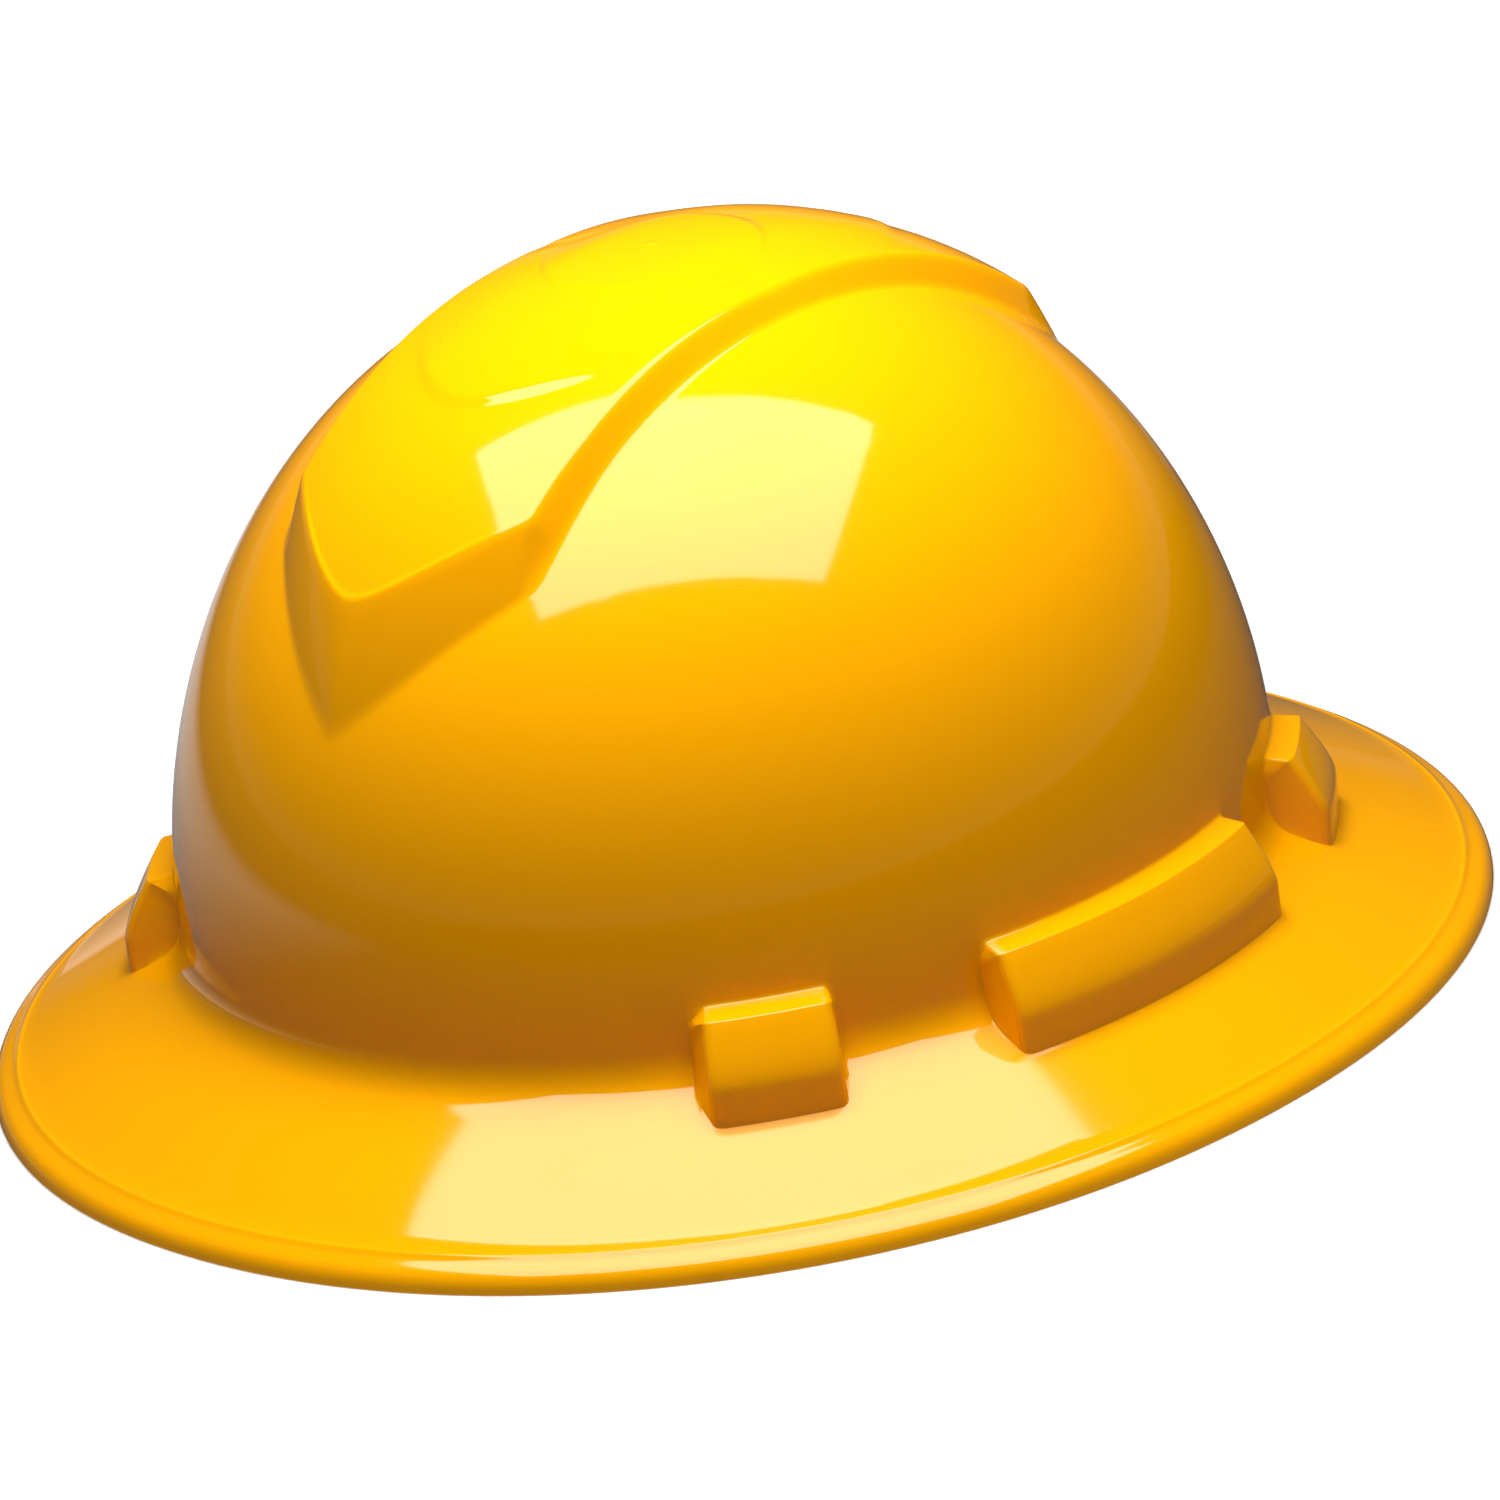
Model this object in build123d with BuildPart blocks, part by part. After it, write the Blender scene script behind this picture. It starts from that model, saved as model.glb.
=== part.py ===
from build123d import *
import math
import os

os.makedirs("parts", exist_ok=True)

# Full brim hard hat with a four point ratchet suspension. Lengths are millimetres, angles degrees.
# The wearer's left is +X, the front of the hat is -Y, and the brim edge stands on Z = 0.

# Shell
hat_length = 320.0
hat_width = 295.0
dome_length = 235.0
dome_height = 151.8
dome_spring_height = 35.0
dome_plan_power = 2.23
dome_rise_power = 1.87
shell_wall = 2.4
brim_wall = 2.6
brim_edge_height = 1.8
brim_edge_width = 2.2
brim_edge_land = 0.5
lip_inset = 5.2
lip_height = 5.8
brim_foot_height = 24.6
foot_radius = 6.0

# Raised crown band with its pointed ends and two stepped chevrons
ridge_rise = 4.2
ridge_half_width = 35.0
ridge_flank_width = 3.5
ridge_flank_sink = 1.0
ridge_base_tip = 104.0
ridge_base_corner = 77.0
ridge_top_tip = 94.5
chevron_step = 0.6
chevron_bevel = 1.2
chevron_half_width = 27.0
crown_half_width = 22.0
chevron_tip = 60.5
chevron_drop = 13.5
crown_tip = 24.0
crown_drop = 14.0

# Hollow bosses at the foot of the dome
boss_out = 12.0
boss_top_height = 40.0
boss_face_height = 16.0
boss_edge_radius = 2.0
front_boss_angle = -40.6
rear_boss_angle = 38.8
key_boss_arc = 12.4
side_boss_arc = 35.4
boss_wall = 2.4

# Suspension keys
keyway_width = 20.0
keyway_inset = 0.6
key_clearance = 0.3
key_width = 18.0
key_wall = 2.5
tongue_height = 31.0
bridge_height = 17.0
leg_out = 7.5
leg_head_width = 27.0
leg_top_height = 47.5
stud_height = 32.0
height_travel = 8.0
stud_neck = 4.0
stud_head = 6.6
stud_head_wall = 1.8
stud_head_width = 9.0
tab_width = 10.0
tab_wall = 3.4

# Woven crown straps and the patch sewn under their crossing
strap_width = 19.0
strap_wall = 1.2
strap_slot_height = 3.6
strap_slot_width = 21.5
strap_bar = 4.0
strap_swing = 1.0
strap_seat_gap = 0.3
strap_fold_length = 8.0
strap_crown_height = 121.0
strap_layer_gap = 0.8
patch_gap = 0.3
patch_radius = 15.0
patch_wall = 1.5

# Headband and its pads
band_wall = 1.6
band_half_width = 80.0
band_centre = 9.0
band_front_reach = 110.0
band_bottom_height = 12.0
band_top_height = 40.0
band_strip_bottom = 9.0
band_strip_top = 34.5
temple_share = 0.6
band_end_angle = 41.0
loop_start_angle = 34.5
pad_wall = 3.0
pad_gap = 0.3
brow_pad_half_angle = 62.0

# Rack straps, pinion and ratchet case at the nape
rack_wall = 1.6
rack_height = 20.0
rack_gap = 0.3
rack_travel = 17.0
rack_lead_angle = 19.0
rack_tail_angle = 24.0
gear_module = 1.0
pinion_teeth = 10
pressure_angle = 25.0
addendum_share = 0.8
dedendum_share = 1.0
backlash = 0.3
slot_relief = 0.9
nape_height = 20.0
case_wall = 1.8
case_half_angle = 21.0
case_rail_height = 4.2
drum_radius = 14.0
drum_depth = 4.5
drum_wall = 2.4
well_floor = 2.7
detent_teeth = 24
detent_depth = 0.9
knob_radius = 15.5
knob_depth = 8.6
knob_gap = 0.3
knob_dish_depth = 2.0
knob_dish_radius = 10.5
knob_dish_lean = 20.0
knob_scallops = 12
knob_scallop_radius = 2.2
axle_radius = 4.0
axle_square = 5.2
axle_square_length = 8.0
journal_radius = 2.8
screw_radius = 1.3
screw_head_radius = 3.6
screw_head_wall = 0.9
screw_length = 6.0
case_screw_radius = 1.2
case_screw_head_radius = 2.2
case_screw_head_wall = 0.8
case_screw_angle = 17.0
pawl_wall = 2.4
pawl_arm_wall = 1.2
pawl_arm_radius = 9.0
pawl_arm_arc = 84.0
pawl_nub_radius = 0.9
pawl_hub_radius = 5.4
pawl_arms = 3
pawl_root_turn = 5.0
case_lip_radius = 0.8
cover_embed = 0.6

# Accessory slot under each side boss, between two ribs, with a cored space at each end
accessory_slot_width = 30.0
boss_rib = 2.0

# One overrun serves every cut that has to pass right through
overrun = 5.0

# Sizes that follow from the ones above
width_share = hat_width / hat_length
rim_radius = hat_length / 2
dome_radius = dome_length / 2
lip_radius = rim_radius - lip_inset
brim_fall_share = (brim_foot_height - lip_height) / (lip_radius - dome_radius)
brim_drop = brim_wall * math.sqrt(1 + brim_fall_share**2)
boss_rise = boss_top_height - boss_face_height
crest_radius = (boss_out**2 + boss_rise**2) / (2 * boss_out)
crest_centre = dome_radius + boss_out - crest_radius
rack_pitch_radius = gear_module * pinion_teeth / 2
rack_pitch = math.pi * gear_module
arc_points = 9
ridge_points = 15
ridge_sections = 7


def dome_height_at(x, y, rise):
    """Height of the dome surface, grown outward by rise, above a point of its plan."""
    long_radius = dome_radius + rise
    reach_share = math.hypot(x / width_share, y) / long_radius
    fill_share = max(0.0, 1 - reach_share**dome_plan_power)
    tall = dome_height + rise - dome_spring_height
    return dome_spring_height + tall * fill_share ** (1 / dome_rise_power)


def dome_curve(rise):
    """Half section of the dome from the crown down to where its wall stands upright."""
    radius = dome_radius + rise
    tall = dome_height + rise - dome_spring_height
    turns = [math.radians(90 - 90 * i / (arc_points - 1)) for i in range(arc_points)]
    return [
        (
            radius * math.cos(turn) ** (2 / dome_plan_power),
            dome_spring_height + tall * math.sin(turn) ** (2 / dome_rise_power),
        )
        for turn in turns
    ]


def polar(radius, angle):
    """Point at a radius and an angle round the centre of the nape arc."""
    turn = math.radians(angle)
    return (radius * math.cos(turn), band_centre + radius * math.sin(turn))


def wall_plane(angle):
    """Upright plane square to the dome wall at a boss: its X points outward and its Y points up."""
    turn = math.radians(angle)
    foot = (width_share * dome_radius * math.cos(turn), dome_radius * math.sin(turn))
    outward = Vector(math.cos(turn), width_share * math.sin(turn), 0).normalized()
    return Plane(origin=(foot[0], foot[1], 0), x_dir=outward, z_dir=outward.cross(Vector(0, 0, 1)))


def face_plane(plane, out):
    """Plane parallel to the dome wall, out from it: its X runs along the wall and its Y points up."""
    spot = plane.origin + plane.x_dir * out
    return Plane(origin=spot, x_dir=plane.z_dir * -1, z_dir=plane.x_dir)


def rear_plane(out):
    """Upright plane square to the knob's axle, at a distance behind the centre of the nape arc."""
    return Plane(origin=(0, band_centre + out, nape_height), x_dir=(-1, 0, 0), z_dir=(0, 1, 0))


def arc_sector(inner, outer, start, end):
    """Flat piece of a ring round the nape arc's centre."""
    with BuildSketch() as sector:
        with BuildLine():
            first = CenterArc((0, band_centre), inner, start, end - start)
            second = CenterArc((0, band_centre), outer, start, end - start)
            Line(first @ 0, second @ 0)
            Line(first @ 1, second @ 1)
        make_face()
    return sector.sketch


def ridge_section(x, rise, reach):
    """Upright slice of the crown band at one distance from the middle of the hat."""
    floor = dome_spring_height - overrun
    shares = [math.sin(math.radians(-90 + 180 * i / (ridge_points - 1))) for i in range(ridge_points)]
    with BuildSketch(Plane.YZ.offset(x / width_share)) as section:
        with BuildLine():
            arch = Spline([(reach * share, dome_height_at(x, reach * share, rise)) for share in shares])
            Polyline(arch @ 0, (-reach, floor), (reach, floor), arch @ 1)
        make_face()
    return section.sketch.face()


def chevron_plane(tip, drop, side, front, half, rise, lean):
    """Plane of one face of a pointed end, leaning back by lean over the height of its step."""
    low = Vector(0, front * tip, dome_height_at(0, tip, rise))
    corner = Vector(side * half / width_share, front * (tip - drop), dome_height_at(half, tip - drop, rise))
    high = Vector(0, front * (tip - lean), dome_height_at(0, tip - lean, rise + ridge_rise))
    normal = (corner - low).cross(high - low).normalized()
    if normal.Y * front < 0:
        normal = normal * -1
    return Plane(origin=low, x_dir=(corner - low).normalized(), z_dir=normal)


def crown_band(rise, inset):
    """Raised band along the crown, with flanks that slope into the dome and a pointed slope at each end."""
    top_half = ridge_half_width - ridge_flank_width - inset
    foot_half = ridge_half_width + ridge_flank_sink - inset
    foot_rise = rise - ridge_rise * (1 + ridge_flank_sink / ridge_flank_width)
    reach = ridge_base_tip + overrun - inset
    steps = [top_half * (2 * i / (ridge_sections - 1) - 1) for i in range(ridge_sections)]
    with BuildPart() as band:
        loft([ridge_section(x, rise, reach) for x in steps])
        for side in (-1, 1):
            flank_top = ridge_section(side * top_half, rise, reach)
            flank_foot = ridge_section(side * foot_half, foot_rise, reach)
            loft([flank_top, flank_foot], ruled=True)
        for front in (-1, 1):
            for side in (-1, 1):
                face = chevron_plane(
                    ridge_base_tip,
                    ridge_base_tip - ridge_base_corner,
                    side,
                    front,
                    ridge_half_width,
                    0,
                    ridge_base_tip - ridge_top_tip,
                )
                split(bisect_by=face.offset(-inset), keep=Keep.BOTTOM)
    return band.part


def chevron_layer(steps, half, tip, drop):
    """Low step on the crown band that ends in a point at the front and the rear and fades at its sides."""
    places = [half * (2 * i / (ridge_sections - 1) - 1) for i in range(ridge_sections)]
    rises = [ridge_rise + steps * chevron_step * (1 - (x / ridge_half_width) ** 2) for x in places]
    with BuildPart() as layer:
        loft([ridge_section(x, rise, ridge_base_tip) for x, rise in zip(places, rises)])
        for front in (-1, 1):
            for side in (-1, 1):
                face = chevron_plane(tip, drop, side, front, half, ridge_rise, chevron_bevel)
                split(bisect_by=face, keep=Keep.BOTTOM)
    return layer.part


def radial_plane(angle):
    """Upright plane through the hat's axis, with its X outward and its Y up, where a turned boss starts."""
    turn = math.radians(angle)
    return Plane(
        origin=(0, 0, 0),
        x_dir=(math.cos(turn), math.sin(turn), 0),
        z_dir=(math.sin(turn), -math.cos(turn), 0),
    )


def wall_boss(centre_angle, arc):
    """Solid boss that swells from the dome wall down to the brim, before the hat is drawn in."""
    inner = dome_radius - shell_wall / 2
    crest_turn = math.degrees(math.acos((inner - crest_centre) / crest_radius))
    with BuildPart() as boss:
        with BuildSketch(radial_plane(centre_angle - arc / 2)):
            with BuildLine():
                crest = CenterArc((crest_centre, boss_face_height), crest_radius, 0, crest_turn)
                Polyline(crest @ 0, (dome_radius + boss_out, 0), (inner, 0), crest @ 1)
            make_face()
        revolve(axis=Axis.Z, revolution_arc=arc)
        outer_edges = boss.edges().filter_by(
            lambda edge: math.hypot(edge.center().X, edge.center().Y) > dome_radius + shell_wall / 2
            and abs(edge.end_point().Z - edge.start_point().Z) > edge.length / 2
        )
        fillet(outer_edges, radius=boss_edge_radius)
    return boss.part


def boss_hollow(centre_angle, arc):
    """Hollow inside a boss, open downward, one boss wall in from its outer face."""
    inner = dome_radius + keyway_inset
    hollow_radius = crest_radius - boss_wall
    crest_turn = math.degrees(math.acos((inner - crest_centre) / hollow_radius))
    with BuildPart() as hollow:
        with BuildSketch(radial_plane(centre_angle - arc / 2)):
            with BuildLine():
                crest = CenterArc((crest_centre, boss_face_height), hollow_radius, 0, crest_turn)
                Polyline(crest @ 0, (dome_radius + boss_out - boss_wall, 0), (inner, 0), crest @ 1)
            make_face()
        revolve(axis=Axis.Z, revolution_arc=arc)
    return hollow.part


# Shell: one moulding, first turned as a round hat and then drawn in to its real width.
# Dome, foot and brim are one turned section, with the crown band and the bosses added to it.
inner_radius = dome_radius - shell_wall
with BuildPart() as inner_form:
    with BuildSketch(Plane.XZ):
        with BuildLine():
            lining = Spline(dome_curve(-shell_wall), tangents=[(1, 0), (0, -1)])
            heel = FilletPolyline(
                (inner_radius, dome_spring_height),
                (inner_radius, brim_foot_height - brim_drop + shell_wall * brim_fall_share),
                (lip_radius, lip_height - brim_drop),
                radius=foot_radius + shell_wall,
            )
            Polyline(
                heel @ 1,
                (rim_radius - brim_edge_width, brim_edge_land),
                (rim_radius - brim_edge_width, -overrun),
                (0, -overrun),
                lining @ 0,
            )
        make_face()
    revolve(axis=Axis.Z)

with BuildPart() as shell:
    with BuildSketch(Plane.XZ):
        with BuildLine():
            skin = Spline(dome_curve(0), tangents=[(1, 0), (0, -1)])
            foot = FilletPolyline(
                (dome_radius, dome_spring_height),
                (dome_radius, brim_foot_height),
                (lip_radius, lip_height),
                radius=foot_radius,
            )
            Polyline(
                foot @ 1,
                (rim_radius, brim_edge_height),
                (rim_radius, -overrun / 2),
                (0, -overrun / 2),
                skin @ 0,
            )
        make_face()
    revolve(axis=Axis.Z)
    add(crown_band(ridge_rise, 0))
    add(chevron_layer(1, chevron_half_width, chevron_tip, chevron_drop))
    add(chevron_layer(2, crown_half_width, crown_tip, crown_drop))
    for boss_angle in (0, 180):
        add(wall_boss(boss_angle, side_boss_arc))
    for boss_angle in (front_boss_angle, rear_boss_angle, 180 - front_boss_angle, 180 - rear_boss_angle):
        add(wall_boss(boss_angle, key_boss_arc))
    add(inner_form.part, mode=Mode.SUBTRACT)
    add(crown_band(ridge_rise - shell_wall, shell_wall), mode=Mode.SUBTRACT)
    slot_arc = math.degrees(accessory_slot_width / dome_radius)
    core_start = slot_arc / 2 + math.degrees(boss_rib / dome_radius)
    core_arc = side_boss_arc / 2 - math.degrees(boss_wall / dome_radius) - core_start
    for boss_angle in (0, 180):
        add(boss_hollow(boss_angle, slot_arc), mode=Mode.SUBTRACT)
        for side in (-1, 1):
            core_angle = boss_angle + side * (core_start + core_arc / 2)
            add(boss_hollow(core_angle, core_arc), mode=Mode.SUBTRACT)
    scale(by=(width_share, 1, 1))
    split(bisect_by=Plane.XY, keep=Keep.TOP)
    pocket_out = boss_out - boss_wall
    for boss_angle in (front_boss_angle, rear_boss_angle, 180 - front_boss_angle, 180 - rear_boss_angle):
        with BuildSketch(wall_plane(boss_angle)):
            with BuildLine():
                Polyline(
                    (keyway_inset, 0),
                    (pocket_out, 0),
                    (pocket_out, boss_face_height + boss_wall),
                    (pocket_out - boss_wall, boss_top_height - boss_out - boss_wall / 2),
                    (keyway_inset, boss_top_height - boss_wall * 2),
                    close=True,
                )
            make_face()
        extrude(amount=keyway_width / 2, both=True, mode=Mode.SUBTRACT)
shell.part.label = "shell"
export_step(shell.part, "parts/shell.step")

# Suspension keys: a ribbed tongue pushed up into each boss, hooked under the wall to a slotted leg inside
tongue_in = keyway_inset + key_clearance
tongue_out = tongue_in + key_wall
rib_out = boss_out - boss_wall - key_clearance
leg_in = leg_out + key_wall
slot_clear = stud_neck / 2 + key_clearance
strap_slot_top = leg_top_height - strap_bar
leg_head_height = strap_bar + strap_slot_height + key_wall
key_places = {
    "front_left_key": front_boss_angle,
    "rear_left_key": rear_boss_angle,
    "front_right_key": 180 - front_boss_angle,
    "rear_right_key": 180 - rear_boss_angle,
}
for key_name, key_angle in key_places.items():
    across = wall_plane(key_angle)
    with BuildPart() as key:
        with BuildSketch(across):
            with BuildLine():
                Polyline(
                    (-leg_in, bridge_height),
                    (tongue_out, bridge_height),
                    (tongue_out, tongue_height),
                    (tongue_in, tongue_height),
                    (tongue_in, bridge_height + key_wall),
                    (-leg_in, bridge_height + key_wall),
                    close=True,
                )
            make_face()
        extrude(amount=key_width / 2, both=True)
        with BuildSketch(across.offset(-key_width / 2), across.offset(key_width / 2 - key_wall)):
            with BuildLine():
                Polyline(
                    (tongue_in, bridge_height),
                    (rib_out, bridge_height),
                    (rib_out - boss_wall, boss_top_height - boss_out - boss_wall),
                    (tongue_in, tongue_height),
                    close=True,
                )
            make_face()
        extrude(amount=key_wall)
        with BuildSketch(face_plane(across, -leg_in)):
            with Locations((0, (leg_top_height + bridge_height) / 2)):
                Rectangle(key_width, leg_top_height - bridge_height)
            with Locations((0, leg_top_height - leg_head_height / 2)):
                RectangleRounded(leg_head_width, leg_head_height, key_wall / 2)
            with Locations((0, strap_slot_top - strap_slot_height / 2)):
                Rectangle(strap_slot_width, strap_slot_height, mode=Mode.SUBTRACT)
            with Locations((0, stud_height - height_travel / 2)):
                Rectangle(2 * slot_clear, height_travel + 2 * slot_clear, mode=Mode.SUBTRACT)
        extrude(amount=key_wall)
    key.part.label = key_name
    export_step(key.part, f"parts/{key_name}.step")


def strap_anchor(angle):
    """Middle of the bar that a crown strap is folded round, seen in plan."""
    across = wall_plane(angle)
    return across.origin + across.x_dir * -(leg_out + key_wall / 2)


# Crown straps: two woven webs that cross under the crown, each end folded round the bar of a key
strap_rise = {"crown_strap_lower": 0, "crown_strap_upper": strap_wall + strap_layer_gap}
strap_ends = {
    "crown_strap_lower": (180 - rear_boss_angle, front_boss_angle),
    "crown_strap_upper": (180 - front_boss_angle, rear_boss_angle),
}
fold_low = strap_slot_top - strap_seat_gap - strap_wall / 2
for strap_name, (far_angle, near_angle) in strap_ends.items():
    far_end = strap_anchor(far_angle)
    near_end = strap_anchor(near_angle)
    along = (near_end - far_end).normalized()
    half_span = (near_end - far_end).length / 2
    inner_run = half_span - key_wall / 2 - strap_swing - strap_wall / 2
    outer_run = half_span + key_wall / 2 + strap_swing + strap_wall / 2
    with BuildPart() as strap:
        with BuildSketch(Plane(origin=(near_end + far_end) / 2, x_dir=along, z_dir=along.cross(Vector(0, 0, 1)))):
            with BuildLine():
                with BuildLine(mode=Mode.PRIVATE) as route:
                    Polyline(
                        (-outer_run, fold_low + strap_fold_length),
                        (-outer_run, fold_low),
                        (-inner_run, fold_low),
                        (-inner_run, leg_top_height),
                    )
                    ThreePointArc(
                        (-inner_run, leg_top_height),
                        (0, strap_crown_height + strap_rise[strap_name]),
                        (inner_run, leg_top_height),
                    )
                    Polyline(
                        (inner_run, leg_top_height),
                        (inner_run, fold_low),
                        (outer_run, fold_low),
                        (outer_run, fold_low + strap_fold_length),
                    )
                offset(route.wire(), amount=strap_wall / 2, kind=Kind.INTERSECTION, side=Side.BOTH)
            make_face()
        extrude(amount=strap_width / 2, both=True)
    strap.part.label = strap_name
    export_step(strap.part, f"parts/{strap_name}.step")

# Crown patch: a soft disc sewn under the crossing of the straps
crown_span = (strap_anchor(front_boss_angle) - strap_anchor(180 - rear_boss_angle)).length / 2
crown_arch = strap_crown_height - leg_top_height
crown_radius = (crown_span**2 + crown_arch**2) / (2 * crown_arch)
patch_top = crown_radius - strap_wall / 2 - patch_gap
patch_centre = strap_crown_height - crown_radius
patch_turn = math.degrees(math.asin(patch_radius / patch_top))
with BuildPart() as crown_patch:
    with BuildSketch(Plane.XZ):
        with BuildLine():
            upper = CenterArc((0, patch_centre), patch_top, 90 - patch_turn, patch_turn)
            lower = CenterArc((0, patch_centre), patch_top - patch_wall, 90 - patch_turn, patch_turn)
            Line(upper @ 0, lower @ 0)
            Line(upper @ 1, lower @ 1)
        make_face()
    revolve(axis=Axis.Z)
crown_patch.part.label = "crown_patch"
export_step(crown_patch.part, "parts/crown_patch.step")


def band_outline(grow):
    """Plan of the headband's inner face, grown outward: half an ellipse in front, half a circle behind."""
    with BuildSketch() as outline:
        with BuildLine():
            EllipticalCenterArc((0, band_centre), band_half_width + grow, band_front_reach + grow, 180, arc_size=180)
            CenterArc((0, band_centre), band_half_width + grow, 0, 180)
        make_face()
    return outline.sketch


def run_inward(start, outward, half_width, half_length):
    """Distance from a point back along outward to an ellipse round the centre of the nape arc."""
    square = (outward.X / half_width) ** 2 + (outward.Y / half_length) ** 2
    cross = start.X * outward.X / half_width**2 + (start.Y - band_centre) * outward.Y / half_length**2
    rest = (start.X / half_width) ** 2 + ((start.Y - band_centre) / half_length) ** 2 - 1
    return (cross - math.sqrt(cross**2 - square * rest)) / square


# Headband: a moulded band round the brow and temples, with a guide loop and two hanger studs a side
band_outer = band_half_width + band_wall
rack_space = 2 * rack_wall + 3 * rack_gap
loop_half_height = rack_height / 2 + rack_gap + case_wall
loop_arc = band_end_angle - loop_start_angle
with BuildPart() as headband:
    with BuildSketch(Plane.XY.offset(band_strip_bottom)):
        add(band_outline(band_wall))
        add(band_outline(0), mode=Mode.SUBTRACT)
        with BuildLine():
            Polyline(
                (0, band_centre),
                polar(2 * band_outer, band_end_angle),
                polar(2 * band_outer, 90),
                polar(2 * band_outer, 180 - band_end_angle),
                close=True,
            )
        make_face(mode=Mode.SUBTRACT)
    extrude(amount=band_top_height - band_strip_bottom)
    with BuildSketch(Plane.YZ):
        with BuildLine():
            crest = Spline(
                (-temple_share * band_front_reach, band_top_height),
                (band_centre, band_strip_top),
                tangents=[(1, 0), (1, 0)],
            )
            Polyline(
                crest @ 1,
                (band_front_reach, band_strip_top),
                (band_front_reach, band_top_height),
                crest @ 0,
            )
        make_face()
        with BuildLine():
            hem = Spline(
                (-temple_share * band_front_reach, band_bottom_height),
                (band_centre, band_strip_bottom),
                tangents=[(1, 0), (1, 0)],
            )
            Polyline(
                hem @ 1,
                (band_centre, band_strip_bottom - overrun),
                (-band_front_reach - overrun, band_strip_bottom - overrun),
                (-band_front_reach - overrun, band_bottom_height),
                hem @ 0,
            )
        make_face()
    extrude(amount=2 * band_outer, both=True, mode=Mode.SUBTRACT)
    with BuildSketch(Plane.XY.offset(nape_height - loop_half_height)):
        for start in (loop_start_angle, 180 - band_end_angle):
            add(arc_sector(band_outer - band_wall / 2, band_outer + rack_space + case_wall, start, start + loop_arc))
    extrude(amount=band_strip_top - nape_height + loop_half_height)
    with BuildSketch(Plane.XY.offset(nape_height - rack_height / 2 - rack_gap)):
        for start in (loop_start_angle, 180 - band_end_angle):
            add(arc_sector(band_outer, band_outer + rack_space, start - loop_arc, start + 2 * loop_arc))
    extrude(amount=rack_height + 2 * rack_gap, mode=Mode.SUBTRACT)
    for key_angle in key_places.values():
        across = wall_plane(key_angle)
        start = across.origin + across.x_dir * -leg_in
        if start.Y < 0:
            reach = run_inward(start, across.x_dir, band_half_width, band_front_reach)
        else:
            reach = run_inward(start, across.x_dir, band_outer + rack_space, band_outer + rack_space)
        with BuildSketch(face_plane(across, -leg_in - key_clearance)):
            with Locations((0, stud_height)):
                Rectangle(tab_width, tab_wall)
        extrude(amount=key_clearance + band_wall / 2 - reach)
        with BuildSketch(face_plane(across, -leg_in - key_clearance)):
            with Locations((0, stud_height)):
                Rectangle(stud_neck, stud_neck)
        extrude(amount=key_wall + 2 * key_clearance)
        with BuildSketch(face_plane(across, -leg_out + key_clearance)):
            with Locations((0, stud_height)):
                RectangleRounded(stud_head_width, stud_head, stud_head_wall / 2)
        extrude(amount=stud_head_wall)
headband.part.label = "headband"
export_step(headband.part, "parts/headband.step")

# Brow pad: a soft sweatband inside the front of the headband
with BuildPart() as brow_pad:
    with BuildSketch(Plane.XY.offset(band_bottom_height + pad_gap)):
        add(band_outline(-pad_gap))
        add(band_outline(-pad_gap - pad_wall), mode=Mode.SUBTRACT)
        with BuildLine():
            Polyline(
                polar(2 * band_outer, -90 - brow_pad_half_angle),
                (0, band_centre),
                polar(2 * band_outer, -90 + brow_pad_half_angle),
                (3 * band_outer, 3 * band_outer),
                (-3 * band_outer, 3 * band_outer),
                close=True,
            )
        make_face(mode=Mode.SUBTRACT)
    extrude(amount=band_top_height - band_bottom_height - 2 * pad_gap)
brow_pad.part.label = "brow_pad"
export_step(brow_pad.part, "parts/brow_pad.step")

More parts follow.
